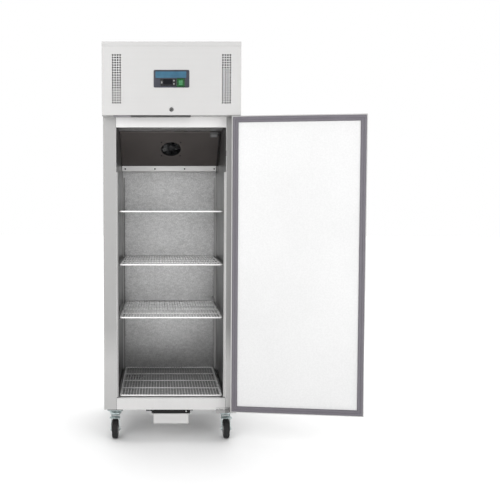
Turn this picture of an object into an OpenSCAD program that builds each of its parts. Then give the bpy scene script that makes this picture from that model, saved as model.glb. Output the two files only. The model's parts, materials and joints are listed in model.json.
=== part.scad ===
// Single-door upright refrigerator with a header-mounted refrigeration unit.
// Origin: on the floor under the centre of the cabinet. Front faces -Y, +Z is up.

/* [Cabinet] */
// Width over the side panels
cab_w = 680; // [660:10:720]
// Depth from the header front to the back panel
cab_d = 800; // [780:10:840]
// Height from the floor to the lid
cab_h = 2010; // [1980:10:2060]
// Height of the header box
header_h = 355; // [345:5:375]
// Height of the body's underside above the floor
body_z = 178; // [178:1:182]
// Insulated side wall, skin to skin
wall = 64; // [60:1:68]

/* [Door] */
// Zone in front of the face frame that the door fills
door_zone = 70; // [70:1:76]
// Angle that the door stands open in the modelled pose
door_open = 172.8; // [90:0.1:175]
// Width of the seal
gasket_w = 28; // [22:1:32]

/* [Storage] */
// Heights of the shelves' front bars, from the top down
shelf_z = [1185, 915, 645, 244];
// Spacing of the shelf wires
wire_pitch = 14.8; // [12:0.2:26]

/* [Castors] */
// Wheel diameter
wheel_d = 100; // [96:1:100]
// Distance from a swivel axis to its wheel's axle
trail = 35; // [30:1:38]

/* [Vents] */
// Width of a square vent hole
vent_hole = 7.6; // [6:0.2:8]
// Spacing of the vent holes
vent_pitch = 12.1; // [11:0.1:12.2]

/* [Hidden] */
$fn = 48;

// Sheet thicknesses
skin = 1;
sheet = 1.2;
cover_t = 1.5;
eps = 0.5;                           // how far a cutter runs past a face
seam = 0.3;                          // visible gap between butted sheets
joint_w = 1.4;                       // groove where the face frame's rails meet its stiles
joint_d = 0.5;
fit = 0.05;                          // radial clearance of a running fit

// Outline of the cabinet
half_w = cab_w / 2;
front_y = -cab_d / 2;
back_y = cab_d / 2;
face_y = front_y + door_zone;        // plane of the face frame
header_z = cab_h - header_h;
deck_z = header_z + 30;              // top of the insulated box
lid_flange_z = cab_h - 22;

// Cavity
cav_w = half_w - wall;               // half of its width
cav_back = back_y - 60;
cav_floor = body_z + 58;
cav_top = header_z - 35;
rail_z = header_z - 50;              // underside of the face frame's top rail
strip_y = face_y + 18;               // where the breaker strips meet the liner

// Door, in its closed place
door_w = half_w - 18;                // half of its width
door_y0 = front_y + 2;
door_y1 = face_y - 8;
door_z0 = body_z + 10;
door_z1 = header_z - 5;
pin_x = half_w - 30;
pin_y = front_y + 24;
pin_r = 6;
seal_out = 5;                        // from the door's edge to the seal's edge
return_w = 22;                       // width of the skin's return flange
bush_r = 10;
cartridge_r = 12;
cartridge_h = 130;
bracket_screw_z = body_z + 3.2;
grip = [34, 26, 200];                // finger pocket: width, depth, height
grip_x = -door_w + 14;
grip_z = 1000;

// Lock in the fascia
lock_z = header_z + 27;
barrel_r = 7;
cam_len = 40;
cam_w = 16;
cam_y = front_y + 17.5;
cam_t = 3;
slot_y0 = cam_y - 2;
slot_y1 = cam_y + cam_t + 3;

// Control panel
bezel = [174, 85];
bezel_z = header_z + 133;
thermo = [77, 34];
thermo_x = -54;
thermo_z = bezel_z + 8;
rocker_x = 45;
rocker_z = bezel_z + 23;
rocker = [31, 35];
rocker_tilt = 5;
rocker_pin_r = 2.5;
set_at = [-48, thermo_z + thermo[1] / 2];
up_at = [12, thermo_z + 25];
down_at = [12, thermo_z + 9];
set_size = [8, 14];
key_size = [8, 9];
key_gap = 0.4;

// Vent fields
vent_cols = 4;
vent_rows = 20;
vent_x = 268;
vent_z = header_z + 175;

// Evaporator housing: a sloped cover over a pan, in the cavity's top rear corner
slope_y = -27;
lip_y = 185;
lip_top = header_z - 210;
pan_z = lip_top - 28.5;
slope_angle = atan((cav_top - lip_top) / (lip_y + cover_t - slope_y));
slope_len = (lip_y + cover_t - slope_y) / cos(slope_angle);
house_w = cav_w - 2;
fan_x = 5;
fan_s = 138.5;                       // fan centre, measured down the slope
fan_r = 55;
fan_box = 120;
fan_depth = 38;
fan_bolts = 105;
lead_x = 268;
lead_r = 2.5;
fitting = [42, 34, 14];
fitting_at = [217, 2.5];             // its corner on the cover, across and down the slope
branch_s = 27;                       // where its own lead joins the long one
drain_y = back_y - 30;
drain_r = 8;
drain_in_z = pan_z + 11;
drain_run_z = body_z - 14;
spout_y = -20;
spout_z = 154;
port = [-225, 275];                  // where the pipes pass through the ceiling
port_r = 18;

// Refrigeration unit
can_at = [-170, 130];
can_r = 75;
condenser = [300, 60, 220];
condenser_at = [0, -250, deck_z + 10];
cfan_at = [150, -160, deck_z + 120];
cfan_r = 98;
gland_at = [250, deck_z + 45];
cord_r = 4.2;
gland_len = 34;
grille_screw_x = [-320, 320];
grille_screw_z = [deck_z + 14, cab_h - 20];

// Racking
upright_y = [strip_y - 6, cav_back - 50];
upright_w = 30;
upright_t = 1.2;
upright_x = cav_w - 10;
upright_z0 = cav_floor + 4;
upright_z1 = rail_z - 223;
slot_pitch = 30;
shelf_w = upright_x - 3;             // half of a shelf's width
shelf_y0 = face_y + 25;
shelf_y1 = cav_back - 5;
bar_d = 8;
wire_d = 3.2;
tie_d = 4.6;
rest_gap = 0.3;                      // from a shelf's bars to its runners

// Castors
castor_x = half_w - 50;
castor_y = [face_y + 135, cav_back - 40];
plate = [80, 100, 4];
plate_z = body_z - 28;
race_h = 10;
crown_z = plate_z - plate[2] - race_h - 0.5;
king_r = 8;
arm_x = 19;
arm_t = 3;
axle_z = wheel_d / 2;
axle_r = 6;
pivot_y = -27;
pivot_z = 108;
pivot_r = 3;

// Tray under the body
tray_w = 89;
tray_y0 = face_y + 20;
tray_y1 = 20;
tray_z0 = 101;
tray_z1 = 152;
web_x = 100;

// A block between two corners
module block(lo, hi) translate(lo) cube(hi - lo);

// A child and its mirror image across the cabinet's middle
module both_sides() {
    children();
    mirror([1, 0, 0]) children();
}

// A cylinder along X or Y from a starting point
module rod_x(at, r, len) translate(at) rotate([0, 90, 0]) cylinder(r = r, h = len);
module rod_y(at, r, len) translate(at) rotate([-90, 0, 0]) cylinder(r = r, h = len);

// An outline in X and Z, turned into a plate that faces -Y
module plate_xz(y0, t) translate([0, y0 + t, 0]) rotate([90, 0, 0]) linear_extrude(t) children();

// The evaporator cover's own frame: X across, Y down the slope, Z into the housing
module on_slope() translate([0, slope_y, cav_top]) rotate([-slope_angle, 0, 0]) children();

// The door's frame, swung from closed to its modelled angle
module on_door() translate([pin_x, pin_y, 0]) rotate([0, 0, door_open])
    translate([-pin_x, -pin_y, 0]) children();

// The tube through the given points, with a fuller joint at each bend
module pipe_run(points, r) {
    for (i = [0 : len(points) - 2]) {
        step = points[i + 1] - points[i];
        translate(points[i])
            rotate([0, acos(step[2] / norm(step)), atan2(step[1], step[0])])
            cylinder(r = r, h = norm(step), $fn = 24);
    }
    for (i = [1 : 1 : len(points) - 2]) translate(points[i]) sphere(r = r + 0.6, $fn = 24);
}

// A pack of fins on a common spine, with return bends on both ends
module fin_pack(size, pitch, gap) {
    linear_extrude(size[2]) difference() {
        square([size[0], size[1]]);
        for (x = [pitch - gap : pitch : size[0] - pitch]) translate([x, -eps])
            square([gap, size[1] - 8 + eps]);
    }
    for (side = [0, 1], k = [0 : floor(size[2] / 48) - 1])
        translate([side * size[0], size[1] / 2, 34 + k * 48])
        rotate([90, side * 180, 0]) rotate([0, 0, 90])
        rotate_extrude(angle = 180, $fn = 32) translate([12, 0]) circle(d = 9, $fn = 24);
}

// Cabinet ---------------------------------------------------------------

module outer_shell() {
    color("gainsboro") {
        difference() {
            union() {
                both_sides() block([half_w - skin, face_y + skin, body_z],
                    [half_w, back_y, header_z]);
                block([-half_w, face_y + skin, body_z], [half_w, back_y, body_z + skin]);
                block([-half_w, back_y - skin, body_z], [half_w, back_y, deck_z]);
            }
            translate([0, drain_y, body_z - eps]) cylinder(r = drain_r + 1, h = skin + 2 * eps);
        }
        // deck over the insulated box, under the refrigeration unit
        difference() {
            block([-half_w + 2, face_y + skin, deck_z - skin], [half_w - 2, back_y - 2, deck_z]);
            translate([port[0], port[1], deck_z - 2]) cylinder(r = port_r, h = 4);
        }
    }
}

module foam_insulation() {
    in_x = cav_w + skin;
    slab_x = in_x - 0.5;
    color("wheat") {
        both_sides() block([in_x, face_y + skin, body_z + skin],
            [half_w - 2, back_y - skin, deck_z - skin]);
        // floor, with the drain's way through
        difference() {
            block([-slab_x, face_y + skin, body_z + skin],
                [slab_x, back_y - skin, cav_floor - skin]);
            translate([0, drain_y, body_z]) cylinder(r = drain_r + 1, h = 60);
            bracket_holes();
        }
        // back, in two halves beside the drain channel
        both_sides() block([14, cav_back + skin, cav_floor - skin + eps],
            [slab_x, back_y - skin, cav_top + skin - eps]);
        // ceiling, with the pipes' way through
        difference() {
            block([-slab_x, face_y + skin, cav_top + skin],
                [slab_x, back_y - skin, deck_z - skin]);
            translate([port[0], port[1], cav_top]) cylinder(r = port_r, h = 70);
        }
        // core of the top rail
        block([-slab_x, face_y + skin, rail_z + skin], [slab_x, strip_y, cav_top + skin - eps]);
    }
}

module inner_liner() {
    color("darkgray") difference() {
        union() {
            difference() {
                block([-cav_w - skin, strip_y, cav_floor - skin],
                    [cav_w + skin, cav_back + skin, cav_top + skin]);
                block([-cav_w, strip_y - eps, cav_floor], [cav_w, cav_back, cav_top]);
            }
            block([-cav_w - eps, strip_y, rail_z], [cav_w + eps, strip_y + skin, cav_top + eps]);
        }
        rod_y([0, cav_back - eps, drain_in_z], drain_r, skin + 2 * eps);
        translate([port[0], port[1], cav_top - eps]) cylinder(r = port_r, h = skin + 2 * eps);
    }
}

module face_frame() {
    color("lightgray") difference() {
        union() {
            both_sides() block([cav_w, face_y, body_z], [half_w, face_y + skin, header_z]);
            for (z = [[body_z, cav_floor], [rail_z, header_z]])
                block([-cav_w - eps, face_y, z[0]], [cav_w + eps, face_y + skin, z[1]]);
        }
        both_sides() for (z = [[body_z - eps, cav_floor + joint_w], [rail_z - joint_w, header_z + eps]])
            block([cav_w, face_y - eps, z[0]], [cav_w + joint_w, face_y + joint_d, z[1]]);
        bracket_holes();
    }
}

module breaker_strips() {
    color("silver") difference() {
        block([-cav_w - skin, face_y + skin, cav_floor - skin],
            [cav_w + skin, strip_y, rail_z + skin]);
        block([-cav_w, face_y, cav_floor], [cav_w, strip_y + eps, rail_z]);
    }
}

module underframe() {
    rail_y0 = castor_y[0] - plate[1] / 2;
    rail_y1 = castor_y[1] + plate[1] / 2;
    color("dimgray") {
        both_sides() difference() {
            block([castor_x - 40, rail_y0, plate_z], [castor_x + 40, rail_y1, body_z]);
            block([castor_x - 38, rail_y0 - eps, plate_z + 2],
                [castor_x + 38, rail_y1 + eps, body_z - 2]);
        }
        for (y = [60, 250])
            block([-castor_x + 40.5, y, body_z - 3], [castor_x - 40.5, y + 30, body_z]);
    }
}

// Header box ------------------------------------------------------------

module vent_field() {
    for (col = [0 : vent_cols - 1], row = [0 : vent_rows - 1])
        translate([(col - (vent_cols - 1) / 2) * vent_pitch,
            (row - (vent_rows - 1) / 2) * vent_pitch])
        square(vent_hole, center = true);
}

module header_fascia() {
    color("gainsboro") {
        plate_xz(front_y, sheet) difference() {
            translate([-half_w, header_z]) square([cab_w, lid_flange_z - header_z - seam]);
            for (side = [-1, 1]) translate([side * vent_x, vent_z]) vent_field();
            translate([0, lock_z]) circle(r = barrel_r + 2.5);
            translate([-70, bezel_z + 4]) square([138, 47]);
        }
        // return flange along the bottom edge
        block([-half_w + 3, front_y + sheet - 0.1, header_z], [half_w - 3, slot_y0 - 1, header_z + sheet]);
    }
}

module header_sides() {
    color("gainsboro") {
        both_sides() block([half_w - sheet, front_y + sheet, header_z],
            [half_w, back_y - sheet, cab_h - sheet]);
        // floor of the overhang, with the slot that the lock's cam drops through
        difference() {
            block([-half_w + 2, slot_y0 - 0.7, header_z], [half_w - 2, face_y, header_z + sheet]);
            block([-cam_len - 2, slot_y0 - 1, header_z - eps], [12, slot_y1, header_z + 2]);
        }
    }
}

module header_lid() {
    color("gainsboro") {
        block([-half_w, front_y, cab_h - sheet], [half_w, back_y, cab_h]);
        block([-half_w, front_y, lid_flange_z], [half_w, front_y + sheet, cab_h]);
    }
}

module rear_grille() {
    color("darkgray") plate_xz(back_y - sheet, sheet) difference() {
        translate([-half_w, deck_z + seam]) square([cab_w, cab_h - deck_z - seam - sheet]);
        for (side = [-1, 1], row = [0 : 11])
            translate([side * 120, header_z + 120 + row * 16]) square([200, 6], center = true);
        translate(gland_at) circle(r = 10);
        for (x = grille_screw_x, z = grille_screw_z) translate([x, z]) circle(r = 2.1);
    }
}

// Racking ---------------------------------------------------------------

module upright(y0) {
    translate([upright_x, 0, 0]) rotate([90, 0, 90]) linear_extrude(upright_t) difference() {
        translate([y0, upright_z0]) square([upright_w, upright_z1 - upright_z0]);
        for (z = [upright_z0 + 21 : slot_pitch : upright_z1 - 12])
            translate([y0 + upright_w / 2, z]) square([12, 4], center = true);
    }
    for (y = [y0, y0 + upright_w - upright_t])
        block([upright_x, y, upright_z0], [cav_w, y + upright_t, upright_z1]);
}

module rack_uprights() {
    color("lightgray") for (y = upright_y) both_sides() upright(y);
}

module shelf_runners() {
    runner_y0 = upright_y[0] + 2;
    runner_y1 = upright_y[1] + upright_w - 2;
    color("darkgray") for (z = shelf_z) {
        top = z - bar_d / 2 - rest_gap;
        both_sides() {
            block([upright_x - 14, runner_y0, top - 1.5], [upright_x, runner_y1, top]);
            block([upright_x - 1.2, runner_y0, top - 1.5], [upright_x, runner_y1, top + 14]);
        }
    }
}

// A wire shelf: a heavy frame, three ties and a row of wires from front to back.
// Its wires are square here, as wide as the round ones that they stand for.
module shelf(z) {
    half = bar_d / 2;
    ties_pitch = (shelf_y1 - shelf_y0) / 4;
    wires = floor((shelf_w - bar_d) / wire_pitch);
    color("white") {
        for (y = [shelf_y0, shelf_y1 - bar_d])
            block([-shelf_w, y, z - half], [shelf_w, y + bar_d, z + half]);
        for (x = [-shelf_w, shelf_w - bar_d])
            block([x, shelf_y0, z - half], [x + bar_d, shelf_y1, z + half]);
        for (k = [1 : 3]) translate([0, shelf_y0 + k * ties_pitch, z - half + tie_d / 2])
            cube([2 * shelf_w - bar_d, tie_d, tie_d], center = true);
        for (k = [-wires : wires])
            translate([k * wire_pitch, (shelf_y0 + shelf_y1) / 2, z + half - wire_d / 2 - 0.2])
            cube([wire_d, shelf_y1 - shelf_y0 - bar_d, wire_d], center = true);
    }
}

module shelf_1() shelf(shelf_z[0]);
module shelf_2() shelf(shelf_z[1]);
module shelf_3() shelf(shelf_z[2]);
module shelf_4() shelf(shelf_z[3]);

// Evaporator housing ----------------------------------------------------

module fan_holes(z0, h, r) {
    for (x = [-1, 1], y = [-1, 1])
        translate([fan_x + x * fan_bolts / 2, fan_s + y * fan_bolts / 2, z0]) cylinder(r = r, h = h);
}

module evaporator_cover() {
    color([0.25, 0.24, 0.24]) on_slope() {
        difference() {
            union() {
                block([-house_w, 2.5, 0], [house_w, slope_len - 3, cover_t]);
                for (x = [-house_w, house_w - cover_t])
                    block([x, 30, 0], [x + cover_t, slope_len - 20, 12]);
            }
            translate([fan_x, fan_s, -eps]) cylinder(r = fan_r, h = cover_t + 2 * eps, $fn = 96);
            fan_holes(-eps, cover_t + 2 * eps, 2.1);
        }
    }
}

module fan_frame() {
    z1 = cover_t + fan_depth;
    color([0.1, 0.1, 0.1]) on_slope() {
        difference() {
            translate([fan_x - fan_box / 2, fan_s - fan_box / 2, cover_t])
                cube([fan_box, fan_box, fan_depth]);
            translate([fan_x, fan_s, 0]) cylinder(r = fan_r, h = z1 + 1, $fn = 96);
            fan_holes(0, z1 + 1, 2.1);
        }
        // struts, motor and shaft
        for (a = [90, 210, 330]) translate([fan_x, fan_s, 0]) rotate([0, 0, a])
            block([18, -3, z1 - 4], [fan_r + 1.5, 3, z1]);
        translate([fan_x, fan_s, z1 - 18]) cylinder(r = 21, h = 18);
        translate([fan_x, fan_s, 6]) cylinder(r = 3, h = z1 - 20);
    }
}

// A propeller about +Z: a cup-shaped hub with a shaft hole, and tilted blades
module propeller(hub_r, tip_r, hub_h, blades, chord, tilt, shaft_r) {
    difference() {
        cylinder(r = hub_r, h = hub_h);
        translate([0, 0, -eps]) cylinder(r = shaft_r + fit, h = hub_h + 2 * eps);
    }
    for (k = [0 : blades - 1]) rotate([0, 0, k * 360 / blades])
        translate([hub_r - 2, 0, hub_h / 2]) rotate([tilt, 0, 0])
        translate([0, -chord / 2, -0.8]) cube([tip_r - hub_r + 2, chord, 1.6]);
}

module evaporator_fan() {
    color([0.12, 0.12, 0.13]) on_slope() translate([fan_x, fan_s, 4.5])
        propeller(20, 52, 14, 7, 20, 38, 3);
}

module evaporator_coil() {
    color("silver") translate([-200, 235, pan_z + 16]) fin_pack([400, 80, 150], 10, 7.5);
}

module drain_pan() {
    color("lightgray") difference() {
        block([-house_w, lip_y, pan_z], [house_w, cav_back - 1, lip_top]);
        block([-house_w + cover_t, lip_y + cover_t, pan_z + cover_t],
            [house_w - cover_t, cav_back - 1 - cover_t, lip_top + eps]);
        for (x = [-255, -85, 85, 255]) rod_y([x, lip_y - eps, pan_z + 12], 2.1, 3);
        rod_y([0, cav_back - 4, drain_in_z], drain_r, 6);
    }
}

module drain_pipe() {
    route = [[0, cav_back - 2.5, drain_in_z], [0, drain_y, drain_in_z],
        [0, drain_y, drain_run_z], [0, spout_y, drain_run_z], [0, spout_y, spout_z]];
    color("whitesmoke") pipe_run(route, drain_r);
}

module probe_lead() {
    color([0.12, 0.12, 0.12]) {
        on_slope() {
            pipe_run([[lead_x, 8, -4], [lead_x, slope_len - 2, -4]], lead_r);
            pipe_run([[fitting_at[0] + fitting[0], branch_s, -4], [lead_x, branch_s, -4]], 1.8);
            translate([lead_x - 7, 5, -11]) cube([14, 14, 11]);
        }
        pipe_run([[lead_x, lip_y - 4, lip_top - 1], [lead_x, lip_y - 4, pan_z - 4]], lead_r);
    }
    color("silver") on_slope() translate([fitting_at[0], fitting_at[1], -fitting[2]]) {
        cube(fitting);
        translate([6, 9, -3]) cube([30, 17, 4]);
    }
}

module door_sensor() {
    color([0.15, 0.15, 0.15]) block([cav_w - 4, face_y + 3, 1462], [cav_w, face_y + 15, 1490]);
}

// Refrigeration unit ----------------------------------------------------

module compressor() {
    color([0.12, 0.12, 0.13]) translate([can_at[0], can_at[1], deck_z]) {
        for (x = [-85, 85], y = [-55, 55]) translate([x, y, 0]) cylinder(r = 12, h = 9);
        difference() {
            block([-100, -70, 9], [100, 70, 12]);
            for (x = [-85, 85], y = [-55, 55]) translate([x, y, 8]) cylinder(r = 4, h = 5);
        }
        translate([0, 0, 11.5]) cylinder(r = can_r, h = 140);
        translate([0, 0, 40]) intersection() {
            sphere(r = 135);
            cylinder(r = can_r - 1, h = 140);
        }
        block([can_r - 4, -28, 60], [can_r + 26, 28, 120]);
        block([-can_r - 12, -5, 100], [-can_r + 8, 5, 110]);
    }
}

module condenser_coil() {
    color("silver") translate(condenser_at) fin_pack(condenser, 8, 6);
}

module condenser_shroud() {
    y0 = condenser_at[1] + condenser[1] + 1;
    motor_y = y0 + 50;
    color([0.14, 0.14, 0.15]) {
        difference() {
            block([condenser_at[0], y0, deck_z + 2],
                [condenser_at[0] + condenser[0], y0 + 44, deck_z + condenser[2] + 10]);
            rod_y([cfan_at[0], y0 - eps, cfan_at[2]], cfan_r + 4, 46);
        }
        for (a = [45 : 90 : 315]) translate([cfan_at[0], motor_y - 7, cfan_at[2]])
            rotate([0, a, 0]) block([20, -4, -5], [cfan_r + 12, 0, 5]);
        rod_y([cfan_at[0], motor_y - 12, cfan_at[2]], 32, 50);
        rod_y([cfan_at[0], y0 + 12, cfan_at[2]], 4, 30);
    }
}

module condenser_fan() {
    color([0.2, 0.2, 0.22]) translate([cfan_at[0], cfan_at[1] + 7, cfan_at[2]])
        rotate([90, 0, 0]) propeller(30, cfan_r, 20, 5, 46, 26, 4);
}

module refrigerant_pipes() {
    can_x = can_at[0];
    can_y = can_at[1];
    coil_top = pan_z + 16 + 150;
    color("peru") {
        // suction line from the evaporator's top, through the ceiling, to the compressor
        pipe_run([[-200, port[1] + 11, coil_top - 12], [port[0] + 2, port[1] + 11, coil_top - 12],
            [port[0] + 2, port[1] + 11, deck_z + 80], [can_x - 30, can_y + 108, deck_z + 80],
            [can_x - 30, can_y + 68, deck_z + 80]], 5);
        // discharge line to the condenser
        pipe_run([[can_x + 40, can_y - 62, deck_z + 100], [can_x + 40, can_y - 130, deck_z + 100],
            [can_x + 90, -200, deck_z + 150], [condenser_at[0], -200, deck_z + 150]], 4);
        // liquid line with the drier, back down to the evaporator
        pipe_run([[condenser_at[0], -240, deck_z + 30], [-60, -240, deck_z + 30],
            [-60, -100, deck_z + 30]], 3);
        translate([-60, -100, deck_z + 30]) rotate([-90, 0, 0]) cylinder(r = 11, h = 90);
        pipe_run([[-60, -10, deck_z + 30], [-60, 240, deck_z + 30],
            [port[0] - 8, 282, deck_z + 30], [port[0] - 8, 282, coil_top - 10],
            [port[0] - 8, 262, coil_top - 10], [-200, 262, coil_top - 10]], 2.5);
    }
}

module electrical_box() {
    color("gray") difference() {
        block([-320, -340, deck_z + 1], [-180, -250, deck_z + 110]);
        block([-317, -337, deck_z + 4], [-183, -253, deck_z + 108]);
    }
}

module power_inlet() {
    x = gland_at[0];
    z = gland_at[1];
    color([0.1, 0.1, 0.1]) difference() {
        union() {
            rod_y([x, back_y - 14, z], 10, gland_len - 12);
            translate([x, back_y, z]) rotate([-90, 0, 0]) cylinder(r = 14, h = 7, $fn = 6);
            rod_y([x, back_y + 7 - eps, z], 11.5, 13 + eps);
            translate([x, back_y - 8, z]) rotate([-90, 0, 0])
                cylinder(r = 13, h = 8 - sheet, $fn = 6);
        }
        rod_y([x, back_y - 14 - eps, z], cord_r, gland_len + 2 * eps);
    }
}

// Controls --------------------------------------------------------------

module control_bezel() {
    color([0.3, 0.31, 0.33]) {
        difference() {
            block([-bezel[0] / 2, front_y - 2, bezel_z],
                [bezel[0] / 2, front_y, bezel_z + bezel[1]]);
            block([thermo_x - 0.2, front_y - 3, thermo_z - 0.2],
                [thermo_x + thermo[0] + 0.2, front_y + 1, thermo_z + thermo[1] + 0.2]);
            block([rocker_x - rocker[0] / 2 - 1, front_y - 3, rocker_z - rocker[1] / 2 - 1.5],
                [rocker_x + rocker[0] / 2 + 1, front_y + 1, rocker_z + rocker[1] / 2 + 1.5]);
        }
        // rim around the rocker switch
        difference() {
            block([rocker_x - rocker[0] / 2 - 3.5, front_y - 3.2, rocker_z - rocker[1] / 2 - 3.5],
                [rocker_x + rocker[0] / 2 + 3.5, front_y - 1.9, rocker_z + rocker[1] / 2 + 3.5]);
            block([rocker_x - rocker[0] / 2 - 1, front_y - 4, rocker_z - rocker[1] / 2 - 1.5],
                [rocker_x + rocker[0] / 2 + 1, front_y, rocker_z + rocker[1] / 2 + 1.5]);
        }
        // body of the rocker switch, behind the panel
        block([rocker_x - 17, front_y + 5, rocker_z - 19],
            [rocker_x + 17, front_y + 26, rocker_z + 19]);
    }
}

module key_well(at, size) {
    block([at[0] - size[0] / 2 - key_gap, front_y - 3, at[1] - size[1] / 2 - key_gap],
        [at[0] + size[0] / 2 + key_gap, front_y + 6, at[1] + size[1] / 2 + key_gap]);
}

module thermostat() {
    color([0.05, 0.05, 0.06]) difference() {
        block([thermo_x, front_y - 2.4, thermo_z],
            [thermo_x + thermo[0], front_y + 30, thermo_z + thermo[1]]);
        key_well(set_at, set_size);
        key_well(up_at, key_size);
        key_well(down_at, key_size);
    }
}

module key(at, size) {
    color([0.3, 0.3, 0.32]) block([at[0] - size[0] / 2, front_y - 3, at[1] - size[1] / 2],
        [at[0] + size[0] / 2, front_y + 4.5, at[1] + size[1] / 2]);
}

module button_set() key(set_at, set_size);
module button_up() key(up_at, key_size);
module button_down() key(down_at, key_size);

module power_rocker() {
    color("green") translate([rocker_x, front_y, rocker_z]) rotate([rocker_tilt, 0, 0])
        union() {
            block([-rocker[0] / 2, -4.6, -rocker[1] / 2], [rocker[0] / 2, 1.5, rocker[1] / 2]);
            rod_x([-rocker[0] / 2 + 1, 0, 0], rocker_pin_r, rocker[0] - 2);
        }
}

module lock_housing() {
    color("silver") difference() {
        union() {
            rod_y([0, front_y - 1.6, lock_z], barrel_r + 4, 1.6);
            rod_y([0, front_y - eps, lock_z], barrel_r + 2.5, 14 + eps);
        }
        rod_y([0, front_y - 3, lock_z], barrel_r + fit, 20);
    }
}

module lock_barrel() {
    color("gray") {
        difference() {
            rod_y([0, front_y - 1, lock_z], barrel_r, cam_y - front_y + 1);
            block([-0.8, front_y - 2, lock_z - 4], [0.8, front_y + 2, lock_z + 4]);
        }
        block([-cam_len, cam_y, lock_z - cam_w / 2], [cam_w / 2, cam_y + cam_t, lock_z + cam_w / 2]);
    }
}

// Door ------------------------------------------------------------------

module cam_slot() {
    block([-cam_len + 8, slot_y0, door_z1 - 12], [12, slot_y1, door_z1 + 1]);
}

module grip_pocket(grow) {
    block([grip_x - grow, door_y0 - 1, grip_z - grow],
        [grip_x + grip[0] + grow, door_y0 + grip[1] + grow, grip_z + grip[2] + grow]);
}

module bush_holes() {
    translate([pin_x, pin_y, door_z1 - 28]) cylinder(r = bush_r, h = 40);
    translate([pin_x, pin_y, door_z0 - 1]) cylinder(r = cartridge_r, h = cartridge_h + 1);
}

module door_skin() {
    color("gainsboro") on_door() difference() {
        block([-door_w, door_y0, door_z0], [door_w, door_y1, door_z1]);
        block([-door_w + skin, door_y0 + skin, door_z0 + skin],
            [door_w - skin, door_y1 - skin, door_z1 - skin]);
        block([-door_w + return_w, door_y1 - 2 * skin, door_z0 + return_w],
            [door_w - return_w, door_y1 + 1, door_z1 - return_w]);
        cam_slot();
        bush_holes();
        grip_pocket(2);
    }
}

module door_foam() {
    color("wheat") on_door() difference() {
        block([-door_w + skin, door_y0 + skin, door_z0 + skin],
            [door_w - skin, door_y1 - skin, door_z1 - skin]);
        cam_slot();
        bush_holes();
        grip_pocket(2);
    }
}

module door_panel() {
    in = return_w + seam;
    color("whitesmoke") on_door() block([-door_w + in, door_y1 - skin, door_z0 + in],
        [door_w - in, door_y1, door_z1 - in]);
}

module seal_ring(out, in, y0, y1) {
    difference() {
        block([-door_w + out, y0, door_z0 + out], [door_w - out, y1, door_z1 - out]);
        block([-door_w + in, y0 - 1, door_z0 + in], [door_w - in, y1 + 1, door_z1 - in]);
    }
}

module door_gasket() {
    inner = seal_out + gasket_w;
    color([0.42, 0.4, 0.44]) on_door() {
        seal_ring(seal_out, inner, door_y1, door_y1 + 3.5);
        seal_ring(seal_out + 4, inner - 2, door_y1 + 3.4, door_y1 + 7.5);
    }
}

module door_grip() {
    color([0.1, 0.1, 0.1]) on_door() difference() {
        union() {
            grip_pocket(2);
            block([grip_x - 5, door_y0 - 1.2, grip_z - 5],
                [grip_x + grip[0] + 5, door_y0, grip_z + grip[2] + 5]);
        }
        translate([0, -1, 0]) grip_pocket(0);
    }
}

module hinge_bushes() {
    color("whitesmoke") on_door() difference() {
        union() {
            translate([pin_x, pin_y, door_z1 - 28]) cylinder(r = bush_r, h = 28);
            translate([pin_x, pin_y, door_z0]) cylinder(r = cartridge_r, h = cartridge_h);
        }
        translate([pin_x, pin_y, door_z1 - 27]) cylinder(r = pin_r + fit, h = 30);
        translate([pin_x, pin_y, door_z0 - 1]) cylinder(r = pin_r + fit, h = 24);
    }
}

module bracket_holes() {
    for (x = [pin_x - 65, pin_x - 40]) rod_y([x, face_y - 2, bracket_screw_z], 2.1, 9);
}

module hinge_brackets() {
    color([0.3, 0.3, 0.31]) {
        // top bracket, screwed up into the header's floor
        block([pin_x - 22, front_y + 5, header_z - 3.2], [pin_x + 25, face_y - 2, header_z]);
        translate([pin_x, pin_y, door_z1 - 25]) cylinder(r = pin_r, h = 28);
    }
    color("silver") {
        // bottom bracket: a plate on the bottom rail and a shelf that carries the pin
        difference() {
            block([pin_x - 82, face_y - 1.5, body_z - 17], [pin_x + 22, face_y, door_z0 + 3.5]);
            bracket_holes();
        }
        block([pin_x - 22, pin_y - 16, body_z + 2], [pin_x + 15, face_y - 1, body_z + 5]);
        translate([pin_x, pin_y, body_z + 4]) cylinder(r = pin_r, h = 25);
    }
}

// Castors ---------------------------------------------------------------

module at_castor(k) {
    x = (k == 1 || k == 3) ? -castor_x : castor_x;
    turn = k < 3 ? 0 : 180;
    translate([x, castor_y[k < 3 ? 0 : 1], 0]) rotate([0, 0, turn]) children();
}

module caster_plates() {
    color("silver") for (k = [1 : 4]) at_castor(k) difference() {
        union() {
            block([-plate[0] / 2, -plate[1] / 2, plate_z - plate[2]],
                [plate[0] / 2, plate[1] / 2, plate_z]);
            translate([0, 0, plate_z - plate[2] - race_h]) cylinder(r = 32, h = race_h + 1);
            for (x = [-30, 30], y = [-38, 38]) translate([x, y, plate_z - plate[2] - 5])
                cylinder(r = 7, h = 6, $fn = 6);
        }
        translate([0, 0, plate_z - 20]) cylinder(r = king_r + fit, h = 30);
    }
}

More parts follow.
